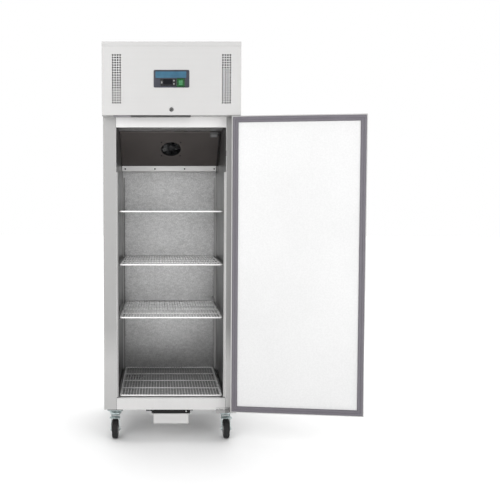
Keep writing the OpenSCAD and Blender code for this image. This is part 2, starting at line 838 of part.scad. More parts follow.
module fork(pedal) {
    color([0.6, 0.68, 0.68]) difference() {
        union() {
            translate([0, 0, crown_z - 12]) cylinder(r = 31, h = 12);
            translate([0, 0, crown_z - 2]) cylinder(r = king_r, h = 14);
            block([-arm_x - arm_t, -24, crown_z - 17], [arm_x + arm_t, 24, crown_z - 11]);
            for (side = [-1, 1]) translate([side * (arm_x + arm_t / 2) - arm_t / 2, 0, 0])
                rotate([90, 0, 90]) linear_extrude(arm_t) {
                    polygon([[26, crown_z - 11], [-26, crown_z - 11], [-35, pivot_z],
                        [-trail - 14, axle_z], [-trail + 14, axle_z], [20, 96]]);
                    translate([-trail, axle_z]) circle(r = 14);
                }
            rod_x([-arm_x - arm_t, -trail, axle_z], axle_r, 2 * (arm_x + arm_t));
            for (x = [-arm_x - arm_t - 5, arm_x + arm_t]) translate([x, -trail, axle_z])
                rotate([0, 90, 0]) cylinder(r = 9, h = 5, $fn = 6);
        }
        if (pedal) rod_x([-arm_x - arm_t - 1, pivot_y, pivot_z], pivot_r + fit,
            2 * (arm_x + arm_t + 1));
    }
}

module wheel() {
    color([0.1, 0.1, 0.1]) translate([0, -trail, axle_z]) rotate([0, 90, 0])
        rotate_extrude($fn = 96) polygon([[axle_r + fit, -18.4], [16, -18.4], [18, -13],
            [34, -11], [37, -15], [44, -16], [48, -14], [wheel_d / 2, -9],
            [wheel_d / 2, 9], [48, 14], [44, 16], [37, 15], [34, 11], [18, 13],
            [16, 18.4], [axle_r + fit, 18.4]]);
}

module pedal() {
    color([0.6, 0.68, 0.68]) {
        rod_x([-arm_x - arm_t - 2, pivot_y, pivot_z], pivot_r, 2 * (arm_x + arm_t + 2));
        block([-arm_x + 1, pivot_y - 10, pivot_z - 5], [arm_x - 1, pivot_y + 5, pivot_z + 6]);
        block([-arm_x + 1, pivot_y - 18, pivot_z + 5], [arm_x - 1, pivot_y - 4, pivot_z + 8]);
        block([-27, pivot_y - 50, pivot_z + 5], [27, pivot_y - 14, pivot_z + 8]);
    }
}

module caster_fork_1() at_castor(1) fork(true);
module caster_fork_2() at_castor(2) fork(true);
module caster_fork_3() at_castor(3) fork(false);
module caster_fork_4() at_castor(4) fork(false);
module caster_wheel_1() at_castor(1) wheel();
module caster_wheel_2() at_castor(2) wheel();
module caster_wheel_3() at_castor(3) wheel();
module caster_wheel_4() at_castor(4) wheel();
module brake_pedal_1() at_castor(1) pedal();
module brake_pedal_2() at_castor(2) pedal();

// Tray ------------------------------------------------------------------

module drip_tray() {
    color("gainsboro") {
        difference() {
            block([-tray_w, tray_y0, tray_z0], [tray_w, tray_y1, tray_z1]);
            block([-tray_w + 1, tray_y0 + 1, tray_z0 + 1], [tray_w - 1, tray_y1 - 1, tray_z1 + 1]);
        }
        both_sides() block([tray_w - eps, tray_y0 + 2, tray_z1 - 1.2],
            [web_x - 1, tray_y1 - 2, tray_z1]);
    }
}

module tray_rails() {
    color([0.12, 0.12, 0.12]) {
        both_sides() {
            block([web_x - 9, tray_y0 + 1, tray_z1 - 3.2], [web_x + 1.5, tray_y1, tray_z1 - 1.7]);
            block([web_x, tray_y0 + 1, tray_z1 - 3.2], [web_x + 1.5, tray_y1, body_z]);
            block([web_x, tray_y0 + 1, body_z - 1.5], [web_x + 24, tray_y1, body_z]);
        }
        // front plate over the tray, with a tab on each side that joins it to a rail
        block([-web_x - eps, tray_y0 + 1, body_z - 5.5], [web_x + eps, tray_y0 + 2.5, body_z - 3]);
        difference() {
            block([-tray_w, tray_y0 + 1, tray_z1 + 1.5], [tray_w, tray_y0 + 2.5, body_z - 3]);
            rod_y([78, tray_y0, 164], 2.1, 4);
        }
    }
}

// Fasteners: identical pan-head screws, seen from -Y or, turned, from +Y
module screw() {
    difference() {
        rod_y([0, -2.2, 0], 4.5, 2.2);
        block([-0.5, -3, -3], [0.5, -1.4, 3]);
        block([-3, -3, -0.5], [3, -1.4, 0.5]);
    }
    rod_y([0, -0.1, 0], 2, 6);
}

module panel_screws() {
    color("silver") {
        for (x = [-255, -85, 85, 255]) translate([x, lip_y, pan_z + 12]) screw();
        for (x = grille_screw_x, z = grille_screw_z)
            translate([x, back_y, z]) rotate([0, 0, 180]) screw();
        for (x = [pin_x - 65, pin_x - 40]) translate([x, face_y - 1.5, bracket_screw_z]) screw();
        translate([78, tray_y0 + 1, 164]) screw();
        on_slope() for (x = [-1, 1], y = [-1, 1])
            translate([fan_x + x * fan_bolts / 2, fan_s + y * fan_bolts / 2, 0])
            rotate([90, 0, 0]) screw();
    }
}

outer_shell();
foam_insulation();
inner_liner();
face_frame();
breaker_strips();
underframe();
header_fascia();
header_sides();
header_lid();
rear_grille();
rack_uprights();
shelf_runners();
evaporator_cover();
fan_frame();
evaporator_coil();
drain_pan();
drain_pipe();
probe_lead();
door_sensor();
compressor();
condenser_coil();
condenser_shroud();
refrigerant_pipes();
electrical_box();
power_inlet();
control_bezel();
thermostat();
lock_housing();
hinge_brackets();
caster_plates();
tray_rails();
panel_screws();
shelf_1();
shelf_2();
shelf_3();
shelf_4();
evaporator_fan();
condenser_fan();
button_set();
button_up();
button_down();
power_rocker();
lock_barrel();
door_skin();
door_foam();
door_panel();
door_gasket();
door_grip();
hinge_bushes();
drip_tray();
caster_fork_1();
caster_fork_2();
caster_fork_3();
caster_fork_4();
caster_wheel_1();
caster_wheel_2();
caster_wheel_3();
caster_wheel_4();
brake_pedal_1();
brake_pedal_2();
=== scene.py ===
"""The looks of an upright single-door refrigerator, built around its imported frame.

Metres, in the frame's own axes: +Z is up, the front faces -Y, and the door is hinged on +X.
"""
import json
import math

import bmesh
import bpy
from mathutils import Matrix, Vector


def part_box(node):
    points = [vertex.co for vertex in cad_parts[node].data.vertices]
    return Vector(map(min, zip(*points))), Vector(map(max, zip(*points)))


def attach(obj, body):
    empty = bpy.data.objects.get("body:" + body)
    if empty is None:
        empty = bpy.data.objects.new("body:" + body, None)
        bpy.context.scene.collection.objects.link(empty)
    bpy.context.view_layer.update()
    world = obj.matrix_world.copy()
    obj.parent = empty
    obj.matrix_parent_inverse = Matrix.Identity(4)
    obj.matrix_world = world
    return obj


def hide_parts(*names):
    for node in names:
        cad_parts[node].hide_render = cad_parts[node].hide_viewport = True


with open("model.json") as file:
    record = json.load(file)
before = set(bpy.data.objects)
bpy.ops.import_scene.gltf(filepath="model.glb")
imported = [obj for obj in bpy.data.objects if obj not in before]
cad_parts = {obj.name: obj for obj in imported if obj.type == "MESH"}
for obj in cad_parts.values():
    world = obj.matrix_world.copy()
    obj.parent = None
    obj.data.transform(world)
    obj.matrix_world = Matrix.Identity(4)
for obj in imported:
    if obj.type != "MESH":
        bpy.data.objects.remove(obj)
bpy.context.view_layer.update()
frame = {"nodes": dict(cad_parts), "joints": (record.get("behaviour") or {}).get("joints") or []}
nodes = frame["nodes"]
joints = {j["name"]: j for j in frame["joints"]}
scene = bpy.context.scene
MM = 0.001
FRONT = Vector((0, -1, 0))
SEAM_X = 0.2765                      # where the face frame's stiles meet its rails
HEADER_CENTRE = Vector(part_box("header_sides")[0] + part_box("header_sides")[1]) / 2


# Camera, light and floor ------------------------------------------------------

def make_camera():
    """A level-sided view from just below the header, with the optical axis left of the frame's centre."""
    camera = bpy.data.objects.new("camera", bpy.data.cameras.new("camera"))
    camera.data.lens = 49.75
    camera.data.shift_x = 0.18
    camera.data.shift_y = -0.011
    camera.location = (-0.056, -3.80, 1.187)
    camera.rotation_euler = (math.radians(90 - 2.77), 0, 0)
    scene.collection.objects.link(camera)
    scene.camera = camera


def area_light(name, at, aim, size, power, tint=(1, 1, 1)):
    """A rectangular softbox at one point that faces another."""
    light = bpy.data.objects.new(name, bpy.data.lights.new(name, "AREA"))
    light.data.shape = "RECTANGLE"
    light.data.size, light.data.size_y = size
    light.data.energy = power
    light.data.color = tint
    light.location = at
    light.rotation_euler = (Vector(aim) - Vector(at)).to_track_quat("-Z", "Y").to_euler()
    scene.collection.objects.link(light)


def make_studio():
    """A white room that is a little darker behind the camera."""
    world = bpy.data.worlds.new("studio")
    scene.world = world
    world.use_nodes = True
    tree = world.node_tree
    background = tree.nodes["Background"]
    coords = tree.nodes.new("ShaderNodeTexCoord")
    split = tree.nodes.new("ShaderNodeSeparateXYZ")
    ramp = tree.nodes.new("ShaderNodeMapRange")
    background.inputs["Color"].default_value = (1, 1, 1, 1)
    tree.links.new(coords.outputs["Generated"], split.inputs[0])
    tree.links.new(split.outputs["Y"], ramp.inputs["Value"])
    for socket, value in (("From Min", -1), ("From Max", 0.3), ("To Min", 0.50), ("To Max", 1.0)):
        ramp.inputs[socket].default_value = value
    tree.links.new(ramp.outputs[0], background.inputs["Strength"])
    area_light("key", (-2.4, -4.2, 2.8), (0, 0, 1.0), (2.4, 2.8), 80)
    area_light("fill", (2.8, -4.2, 2.0), (0.3, 0, 1.0), (2.4, 2.8), 60)
    area_light("top", (0.2, 0.0, 4.6), (0.2, 0, 0), (3.0, 3.0), 60)
    area_light("rear", (0.6, 3.6, 2.6), (0, 0, 1.0), (2.4, 2.4), 40)
    scene.view_settings.view_transform = "Standard"


def make_floor():
    bm = bmesh.new()
    bmesh.ops.create_circle(bm, cap_ends=True, radius=30, segments=96)
    mesh = bpy.data.meshes.new("floor")
    bm.to_mesh(mesh)
    floor = bpy.data.objects.new("floor", mesh)
    scene.collection.objects.link(floor)
    surface = Surface("floor", (0.93, 0.93, 0.93), roughness=0.75, emission_color=(1, 1, 1, 1))
    surface.color(surface.noise(1.5), (0.92, 0.92, 0.92), (0.94, 0.94, 0.94))
    # the room's wash on the floor, growing with the distance from the middle
    away = surface.add("ShaderNodeVectorMath", operation="LENGTH")
    surface.join(surface.coords, away.inputs[0])
    wash = surface.remap(away.outputs["Value"], 0.0, 0.4, 0.9, 2.4)
    surface.join(wash, surface.shader.inputs["Emission Strength"])
    mesh.materials.append(surface.material)


# Materials --------------------------------------------------------------------

class Surface:
    """A procedural material. Its textures are in the object's own metres."""

    def __init__(self, name, color, metallic=0.0, roughness=0.5, **sockets):
        self.material = bpy.data.materials.new(name)
        self.material.use_nodes = True
        self.tree = self.material.node_tree
        self.shader = self.tree.nodes["Principled BSDF"]
        self.texture_coords = self.add("ShaderNodeTexCoord")
        self.coords = self.texture_coords.outputs["Object"]
        values = {"Base Color": (*color, 1), "Metallic": metallic, "Roughness": roughness}
        for key, value in sockets.items():
            values[key.replace("_", " ").title().replace("Ior", "IOR")] = value
        for key, value in values.items():
            self.shader.inputs[key].default_value = value
        self.material.diffuse_color = (*color, 1)

    def add(self, kind, **settings):
        node = self.tree.nodes.new(kind)
        for key, value in settings.items():
            setattr(node, key, value)
        return node

    def join(self, output, socket):
        self.tree.links.new(output, socket)

    def stretched(self, stretch):
        """The coordinates, scaled by one factor per axis."""
        mapping = self.add("ShaderNodeMapping")
        mapping.inputs["Scale"].default_value = stretch
        self.join(self.coords, mapping.inputs["Vector"])
        return mapping.outputs[0]

    def noise(self, scale, stretch=(1, 1, 1), detail=4.0, roughness=0.5):
        node = self.add("ShaderNodeTexNoise")
        self.join(self.stretched(stretch), node.inputs["Vector"])
        node.inputs["Scale"].default_value = scale
        node.inputs["Detail"].default_value = detail
        node.inputs["Roughness"].default_value = roughness
        return node.outputs[0]

    def cells(self, scale, feature="F1", stretch=(1, 1, 1)):
        node = self.add("ShaderNodeTexVoronoi", feature=feature)
        self.join(self.stretched(stretch), node.inputs["Vector"])
        node.inputs["Scale"].default_value = scale
        return node.outputs["Distance"]

    def remap(self, value, low, high, start=0.3, stop=0.7):
        node = self.add("ShaderNodeMapRange")
        self.join(value, node.inputs["Value"])
        for socket, number in (("From Min", start), ("From Max", stop), ("To Min", low), ("To Max", high)):
            node.inputs[socket].default_value = number
        return node.outputs[0]

    def combine(self, a, b, operation="ADD"):
        """One sum on a value, with another value or with a plain number."""
        node = self.add("ShaderNodeMath", operation=operation)
        self.join(a, node.inputs[0])
        if isinstance(b, (int, float)):
            node.inputs[1].default_value = b
        else:
            self.join(b, node.inputs[1])
        return node.outputs[0]

    def mean(self, a, b):
        return self.combine(self.combine(a, b), 0.5, "MULTIPLY")

    def color(self, value, low, high, start=0.3, stop=0.7):
        """Base colour from one texture value, between two colours."""
        node = self.add("ShaderNodeValToRGB")
        self.join(value, node.inputs[0])
        first, last = node.color_ramp.elements
        first.position, first.color = start, (*low, 1)
        last.position, last.color = stop, (*high, 1)
        self.join(node.outputs[0], self.shader.inputs["Base Color"])
        return self

    def vary(self, value, color, spread, start=0.3, stop=0.7):
        """Base colour from one texture value, a share below and above one colour."""
        low = tuple(c * (1 - spread) for c in color)
        high = tuple(min(1.0, c * (1 + spread)) for c in color)
        return self.color(value, low, high, start, stop)

    def shade(self, factor):
        """Multiplies the base colour by a value from the node tree."""
        socket = self.shader.inputs["Base Color"]
        source = socket.links[0].from_socket
        node = self.add("ShaderNodeVectorMath", operation="SCALE")
        self.join(source, node.inputs[0])
        self.join(factor, node.inputs["Scale"])
        self.join(node.outputs[0], socket)
        return self

    def dim(self, mask, share):
        """Multiplies the base colour by a share where the mask is 1."""
        return self.shade(self.remap(mask, 1.0, share, 0, 1))

    def dim_sides(self, share):
        """The same on the faces that look sideways."""
        return self.shade(self.remap(self.normal_axis("X"), 1.0, share, 0.4, 0.8))

    def position(self):
        """The place on the object, one value per axis."""
        split = self.add("ShaderNodeSeparateXYZ")
        self.join(self.coords, split.inputs[0])
        return split.outputs

    def normal_axis(self, axis):
        """How far the surface faces along an axis, either way, from 0 to 1."""
        split = self.add("ShaderNodeSeparateXYZ")
        self.join(self.texture_coords.outputs["Normal"], split.inputs[0])
        return self.combine(split.outputs[axis], 0, "ABSOLUTE")

    def inside(self, centre, share):
        """1 on the faces that look away from a point, and share on those that look towards it."""
        offset = self.add("ShaderNodeVectorMath", operation="SUBTRACT")
        self.join(self.coords, offset.inputs[0])
        offset.inputs[1].default_value = centre
        dot = self.add("ShaderNodeVectorMath", operation="DOT_PRODUCT")
        self.join(offset.outputs[0], dot.inputs[0])
        self.join(self.texture_coords.outputs["Normal"], dot.inputs[1])
        return self.remap(self.combine(dot.outputs["Value"], 0, "GREATER_THAN"), share, 1.0, 0, 1)

    def rough(self, value, low, high, start=0.3, stop=0.7):
        self.join(self.remap(value, low, high, start, stop), self.shader.inputs["Roughness"])
        return self

    def bump(self, value, height, strength=1.0):
        node = self.add("ShaderNodeBump")
        node.inputs["Strength"].default_value = strength
        node.inputs["Distance"].default_value = height
        self.join(value, node.inputs["Height"])
        self.join(node.outputs[0], self.shader.inputs["Normal"])
        return self


def grey(value, warmth=0.0):
    """A grey, a little warmer or cooler."""
    return (value * (1 + warmth), value, value * (1 - warmth))


def brushed_steel(name, tone, grain, roughness=(0.24, 0.42), warmth=0.008, metallic=0.92, contrast=1.0):
    """Satin steel: long fine streaks along the grain, handling smudges and a shallow bump."""
    surface = Surface(name, grey(tone, warmth), metallic, roughness[0])
    fine = [1.0 if axis == grain else 190.0 for axis in "XYZ"]
    coarse = [0.6 if axis == grain else 34.0 for axis in "XYZ"]
    streaks = surface.noise(5.0, fine, detail=6.0, roughness=0.65)
    bands = surface.noise(3.0, coarse, detail=3.0)
    smudges = surface.noise(4.0, detail=5.0, roughness=0.6)
    grain_mix = surface.mean(streaks, bands)
    both = surface.mean(grain_mix, smudges)
    surface.color(both, grey(tone * (1 - 0.07 * contrast), warmth), grey(tone * (1 + 0.04 * contrast), warmth),
                  0.36, 0.64)
    surface.rough(both, roughness[1], roughness[0], 0.36, 0.64)
    return surface.bump(streaks, 0.0001, 0.25 * contrast)


def frame_steel():
    """Steel of the face frame: pale rails, painted shade towards the floor, stiles with painted shade and
    reflection of what stands beside them, and grooves dark with painted shade.
    """
    surface = brushed_steel("steel_frame", 0.67, "Z", (0.40, 0.52), metallic=0.35, contrast=0.4)
    place = surface.position()
    # painted shade: the frame is darker towards the floor
    surface.shade(surface.remap(place["Z"], 0.87, 1.0, 0.2, 1.5))
    # painted shade: how much darker each stile is near the floor and above the knee, for what it reflects
    # beside it
    stiles = (("LESS_THAN", -SEAM_X, -0.30, -0.47), ("GREATER_THAN", SEAM_X, -0.12, -0.54))
    for operation, edge, low, high in stiles:
        stile = surface.combine(place["X"], edge, operation)
        change = surface.combine(stile, surface.remap(place["Z"], low, high, 0.42, 0.60), "MULTIPLY")
        surface.shade(surface.combine(change, 1, "ADD"))
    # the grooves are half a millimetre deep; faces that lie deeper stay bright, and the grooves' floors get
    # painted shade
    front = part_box("face_frame")[0].y
    sunk = surface.combine(place["Y"], front + 0.3 * MM, "GREATER_THAN")
    groove = surface.combine(sunk, surface.combine(place["Y"], front + 0.7 * MM, "LESS_THAN"), "MULTIPLY")
    return surface.dim(groove, 0.14)


def bracket_steel():
    """Pressed steel of the hinge plates, shaded under the bottom rail's edge and beside the stile."""
    surface = brushed_steel("steel_bracket", 0.50, "X", (0.42, 0.52), metallic=0.3, contrast=0.5)
    place = surface.position()
    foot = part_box("face_frame")[0].z
    below = surface.combine(place["Z"], foot, "LESS_THAN")
    surface.dim(below, 0.60)
    away = surface.combine(surface.combine(place["Z"], foot, "SUBTRACT"), 0, "ABSOLUTE")
    surface.shade(surface.remap(away, 0.3, 1.0, 0.0015, 0.0022))
    beside = surface.combine(place["X"], SEAM_X - 2 * MM, "GREATER_THAN")
    return surface.dim(beside, 0.55)


def rack_steel():
    """Folded steel of the uprights: the front flange catches the light and the web doesn't."""
    surface = brushed_steel("steel_rack", 0.50, "Z", (0.40, 0.52), metallic=0.5)
    place = surface.position()
    # the left flange turns away from the light along its inner fold
    left = surface.combine(place["X"], 0, "LESS_THAN")
    bend = surface.remap(place["X"], 0, -0.62, -SEAM_X + 3.5 * MM, -SEAM_X + 9 * MM)
    fold = surface.combine(left, bend, "MULTIPLY")
    surface.shade(surface.combine(fold, 1, "ADD"))
    return surface.dim_sides(0.45)


def tray_steel():
    """Sheet of the tray's carrier: its front plate is painted black, and the rest is bare zinc."""
    surface = plated("carrier_sheet", grey(0.80), (0.34, 0.5), 45.0, 0.08)
    place = surface.position()
    behind = surface.combine(place["Y"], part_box("tray_rails")[0].y + 0.0018, "GREATER_THAN")
    beside = surface.combine(surface.combine(place["X"], 0, "ABSOLUTE"), 0.0895, "GREATER_THAN")
    bare = surface.combine(behind, beside, "MAXIMUM")
    return surface.shade(surface.remap(bare, 0.03, 1.0, 0, 1))


def stucco_steel(name, tone, roughness=(0.26, 0.40)):
    """Embossed liner sheet: small rounded pebbles that scatter the light."""
    surface = Surface(name, grey(tone), 0.75, roughness[0])
    pebbles = surface.cells(230.0, "SMOOTH_F1", (1, 1, 0.7))
    grain = surface.noise(90.0, (0.5, 1, 1.0), detail=3.0)
    clouds = surface.noise(4.0, detail=3.0)
    relief = surface.mean(pebbles, grain)
    surface.color(relief, grey(tone * 0.80), grey(tone * 1.14), 0.30, 0.62)
    surface.shade(surface.remap(clouds, 0.92, 1.08))
    # painted shade: the liner is darker towards the cavity's floor
    surface.shade(surface.remap(surface.position()["Z"], 0.62, 1.02, 0.35, 0.95))
    # painted shade: the side walls are darkened for the dark of the cavity that they reflect
    surface.dim_sides(0.24)
    surface.rough(clouds, *roughness)
    return surface.bump(pebbles, 0.0004, 0.4)


def moulded(name, color, roughness=0.42, relief=0.00006, spread=0.12, grain=700.0, **sockets):
    """Moulded plastic or rubber: a fine spark-eroded grain and slight unevenness of tone."""
    surface = Surface(name, color, 0.0, roughness, **sockets)
    pores = surface.noise(grain, detail=2.0)
    drift = surface.noise(14.0, detail=4.0)
    surface.vary(surface.mean(pores, drift), color, spread, 0.35, 0.65)
    surface.rough(drift, roughness * 0.85, roughness * 1.15)
    return surface.bump(pores, relief, 0.6)


def coated_metal(name, color, roughness=0.35, peel=0.00012, spread=0.08, metallic=0.0, **sockets):
    """Powder coat or paint over metal: orange peel, dust in the tone and a few duller patches."""
    surface = Surface(name, color, metallic, roughness, **sockets)
    orange = surface.noise(420.0, detail=2.0)
    patches = surface.noise(9.0, detail=6.0, roughness=0.6)
    surface.vary(patches, color, spread)
    surface.rough(patches, roughness * 0.85, min(1.0, roughness * 1.3))
    return surface.bump(orange, peel, 0.6)


def plated(name, color, roughness=(0.18, 0.38), spangle=60.0, spread=0.14):
    """Zinc or nickel plate: crystal patches of slightly different tone, and fine scratches."""
    surface = Surface(name, color, 0.95, roughness[0])
    crystals = surface.cells(spangle)
    scratches = surface.noise(30.0, (1, 12, 1), detail=5.0, roughness=0.7)
    both = surface.mean(crystals, scratches)
    surface.vary(both, color, spread, 0.25, 0.65)
    surface.rough(both, *roughness, 0.25, 0.65)
    return surface.bump(scratches, 0.00008, 0.5)


def door_liner():
    """Near-white embossed sheet on the inside of the door."""
    surface = Surface("door_liner", grey(0.63), 0.0, 0.5)
    pebbles = surface.cells(150.0, "SMOOTH_F1")
    clouds = surface.noise(2.2, detail=3.0)
    surface.color(pebbles, grey(0.612), grey(0.645), 0.15, 0.6)
    surface.shade(surface.remap(clouds, 0.97, 1.02))
    surface.rough(clouds, 0.45, 0.55)
    return surface.bump(pebbles, 0.0002, 0.3)


def foam():
    surface = Surface("foam", (0.82, 0.68, 0.36), 0.0, 0.9)
    pores = surface.cells(900.0)
    surface.color(pores, (0.66, 0.52, 0.26), (0.86, 0.72, 0.40), 0.0, 0.6)
    return surface.bump(pores, 0.0006, 0.8)


def grille_zinc():
    """Galvanised sheet, with painted shade on its faces inside the header, where it shuts the header off from
    the light.
    """
    surface = plated("grille_zinc", grey(0.46, -0.02), (0.36, 0.52), 70.0, 0.07)
    return surface.shade(surface.inside(HEADER_CENTRE, 0.06))


def header_sheet():
    surface = brushed_steel("steel_box", 0.42, "Z", (0.36, 0.50), metallic=0.6, contrast=0.6)
    # painted shade on the faces inside the header
    return surface.shade(surface.inside(HEADER_CENTRE, 0.06))


def fascia_sheet(name, tone):
    surface = brushed_steel(name, tone, "X", (0.46, 0.54), metallic=0.3, contrast=0.35)
    # painted shade on the faces inside the header
    return surface.shade(surface.inside(HEADER_CENTRE, 0.06))


def finned_aluminium():
    surface = Surface("aluminium", grey(0.62, -0.01), 0.95, 0.35)
    dust = surface.noise(60.0, (1, 1, 0.2), detail=5.0)
    surface.color(dust, grey(0.48), grey(0.68, -0.01))
    surface.rough(dust, 0.28, 0.5)
    return surface.bump(dust, 0.0001, 0.5)


def copper():
    surface = Surface("copper", (0.72, 0.36, 0.22), 1.0, 0.3)
    tarnish = surface.noise(45.0, detail=6.0, roughness=0.65)
    surface.color(tarnish, (0.36, 0.16, 0.10), (0.80, 0.44, 0.30), 0.35, 0.6)
    surface.rough(tarnish, 0.45, 0.22)
    return surface.bump(tarnish, 0.00005, 0.4)


def blue_strip():
    surface = Surface("blue_strip", (0.022, 0.095, 0.16), 0.0, 0.45)
    weave = surface.noise(350.0, detail=2.0)
    drift = surface.noise(22.0, (1, 1, 1), detail=3.0)
    surface.color(drift, (0.014, 0.080, 0.140), (0.032, 0.125, 0.200))
    return surface.bump(weave, 0.00003, 0.4)


def green_lens(name, dark, light, glow):
    """Tinted lens, lit from behind by a small lamp."""
    surface = Surface(name, dark, 0.0, 0.30, specular_ior_level=0.25)
    drift = surface.noise(120.0, detail=2.0)
    surface.color(drift, dark, light)
    surface.shader.inputs["Emission Color"].default_value = (*light, 1)
    surface.shader.inputs["Emission Strength"].default_value = glow
    return surface.bump(drift, 0.00004, 0.4)


def make_materials():
    made = {
        "steel_shell": brushed_steel("steel_shell", 0.40, "Z", (0.36, 0.50), metallic=0.85, contrast=0.7),
        "steel_door": brushed_steel("steel_door", 0.52, "Z", (0.32, 0.46), metallic=0.85, contrast=0.7),
        "steel_fascia": fascia_sheet("steel_fascia", 0.50),
        "steel_lid": fascia_sheet("steel_lid", 0.49),
        "steel_box": header_sheet(),
        "steel_frame": frame_steel(),
        "steel_bracket": bracket_steel(),
        "carrier": tray_steel(),
        "steel_tray": brushed_steel("steel_tray", 0.56, "X", (0.42, 0.52), metallic=0.3, contrast=0.5),
        "steel_pan": brushed_steel("steel_pan", 0.86, "X", (0.40, 0.52), metallic=0.4, contrast=0.6),
        "steel_fold": brushed_steel("steel_fold", 0.24, "Y"),
        "steel_rack": rack_steel(),
        "liner": stucco_steel("stucco_steel", 0.62),
        "strip": moulded("strip_plastic", grey(0.90), 0.45, spread=0.05),
        "dark_panel": coated_metal("dark_panel", (0.088, 0.077, 0.073), 0.45, spread=0.10),
        # painted highlight: the cover's paint, made lighter for its folded hem
        "bead_painted_highlight": coated_metal("bead_painted_highlight", (0.22, 0.20, 0.19), 0.45, spread=0.10),
        "black_paint": coated_metal("black_paint", grey(0.030, -0.04), 0.4, spread=0.3),
        "black_plastic": moulded("black_plastic", grey(0.018, -0.05), 0.38, spread=0.3),
        "galvanised": plated("galvanised", grey(0.46, -0.02), (0.36, 0.52), 70.0, 0.07),
        "grille": grille_zinc(),
        "fitting": moulded("fitting_plastic", grey(0.125), 0.5, spread=0.08),
        "fitting_pale": moulded("fitting_pale", grey(0.24), 0.5, spread=0.05),
        "aluminium": finned_aluminium(),
        "white_plastic": moulded("white_plastic", grey(0.72), 0.4, spread=0.05),
        "black_rubber": moulded("black_rubber", grey(0.022, -0.03), 0.55, 0.00012, 0.25, 400.0),
        "copper": copper(),
        "grey_plastic": moulded("grey_plastic", grey(0.22), 0.45),
        "bezel": moulded("bezel_plastic", (0.021, 0.023, 0.036), 0.46, spread=0.15),
        "display": moulded("display_glass", (0.003, 0.003, 0.005), 0.10, 0.00001, 0.3, 90.0,
                           specular_ior_level=0.25, coat_weight=0.15, coat_roughness=0.03),
        "control_case": moulded("control_case", grey(0.010, -0.05), 0.42, spread=0.3, specular_ior_level=0.3),
        "key": moulded("key_rubber", grey(0.10), 0.5, spread=0.15),
        "mark": moulded("pale_mark", grey(0.55), 0.5, 0.00002, 0.05),
        "blue": blue_strip(),
        "green": green_lens("green_lens", (0.003, 0.050, 0.010), (0.008, 0.085, 0.018), 0.05),
        "green_lit": green_lens("green_lit_lens", (0.030, 0.150, 0.055), (0.070, 0.215, 0.100), 0.08),
        "nickel": plated("nickel", grey(0.50), (0.16, 0.3), 90.0, 0.1),
        "dark_nickel": plated("dark_nickel", grey(0.16), (0.2, 0.36), 90.0, 0.2),
        "zinc": plated("zinc_plate", (0.53, 0.59, 0.59), (0.24, 0.42), 45.0, 0.18),
        "black_screw": plated("black_oxide", grey(0.045), (0.3, 0.45), 90.0, 0.2),
        "coating": coated_metal("white_coating", grey(0.84, 0.004), 0.28, 0.0001, 0.04,
                                coat_weight=0.5, coat_roughness=0.12),
        "door_liner": door_liner(),
        "gasket": moulded("gasket_rubber", (0.125, 0.116, 0.134), 0.6, 0.0001, 0.1, 300.0,
                          sheen_weight=0.2, sheen_roughness=0.4),
        "tyre": moulded("tyre_rubber", grey(0.014, -0.02), 0.65, 0.0002, 0.35, 260.0, specular_ior_level=0.3),
        "foam": foam(),
    }
    return {name: surface.material for name, surface in made.items()}


# Mesh building ----------------------------------------------------------------

def mm(*points):
    """Points whose numbers are given in millimetres."""
    return [tuple(value * MM for value in point) for point in points]


def circle(radius, count):
    return [(radius * math.cos(a), radius * math.sin(a)) for a in (k * math.tau / count for k in range(count))]


def merge(bm, part, matrix=None):
    """Moves the part's mesh into bm and frees the part."""
    if matrix is not None:
        part.transform(matrix)
    mesh = bpy.data.meshes.new("merge")
    part.to_mesh(mesh)
    bm.from_mesh(mesh)
    bpy.data.meshes.remove(mesh)
    part.free()


def add_box(bm, lo, hi, radius, segments=3, matrix=None):
    """A box between two corners with all of its edges rounded."""
    part = bmesh.new()
    bmesh.ops.create_cube(part, size=1)
    lo, hi = Vector(lo), Vector(hi)
    for v in part.verts:
        v.co = Vector((lo + hi) / 2) + Vector(a * b for a, b in zip(v.co, hi - lo))
    bmesh.ops.bevel(part, geom=part.edges[:], offset=radius, segments=segments, profile=0.5,
                    affect="EDGES", clamp_overlap=True)
    merge(bm, part, matrix)


def bridge(bm, rings):
    """Faces between each closed ring of corners and the next."""
    for a, b in zip(rings, rings[1:]):
        for k in range(len(a)):
            n = (k + 1) % len(a)
            bm.faces.new((a[k], a[n], b[n], b[k]))


def frame_along(direction):
    """A rotation whose Z lies along the direction."""
    return Vector(direction).to_track_quat("Z", "Y").to_matrix().to_4x4()


def add_lathe(bm, profile, at=(0, 0, 0), axis=(0, 0, 1), segments=40):
    """A closed profile of (radius, height) turned about an axis through a point."""
    part = bmesh.new()
    rings = []
    for radius, height in profile:
        corners = circle(radius, segments) if radius > 1e-6 else [(0, 0)]
        rings.append([part.verts.new((x, y, height)) for x, y in corners])
    for a, b in zip(rings, rings[1:] + rings[:1]):
        if len(a) == 1 and len(b) == 1:
            continue
        for k in range(segments):
            n = (k + 1) % segments
            corners = [a[k % len(a)], a[n % len(a)], b[n % len(b)], b[k % len(b)]]
            unique = list(dict.fromkeys(corners))
            if len(unique) > 2:
                part.faces.new(unique)
    bmesh.ops.recalc_face_normals(part, faces=part.faces[:])
    merge(bm, part, Matrix.Translation(at) @ frame_along(axis))


def add_rod(bm, radius, low, high, at=(0, 0, 0), axis=(0, 0, 1), segments=32):
    add_lathe(bm, [(0, low), (radius, low), (radius, high), (0, high)], at, axis, segments)


def corner_arc(before, corner, after, radius, steps):
    """The points that round one corner of a path."""
    before, after = before - corner, after - corner
    turn = before.angle(after) if before.length and after.length else math.pi
    if radius <= 0 or turn > math.radians(175):
        return [corner]
    reach = min(radius / max(math.tan(turn / 2), 1e-4), before.length * 0.49, after.length * 0.49)
    a, b = corner + before.normalized() * reach, corner + after.normalized() * reach
    shares = [k / steps for k in range(steps + 1)]
    return [a * (1 - t) ** 2 + corner * 2 * t * (1 - t) + b * t ** 2 for t in shares]


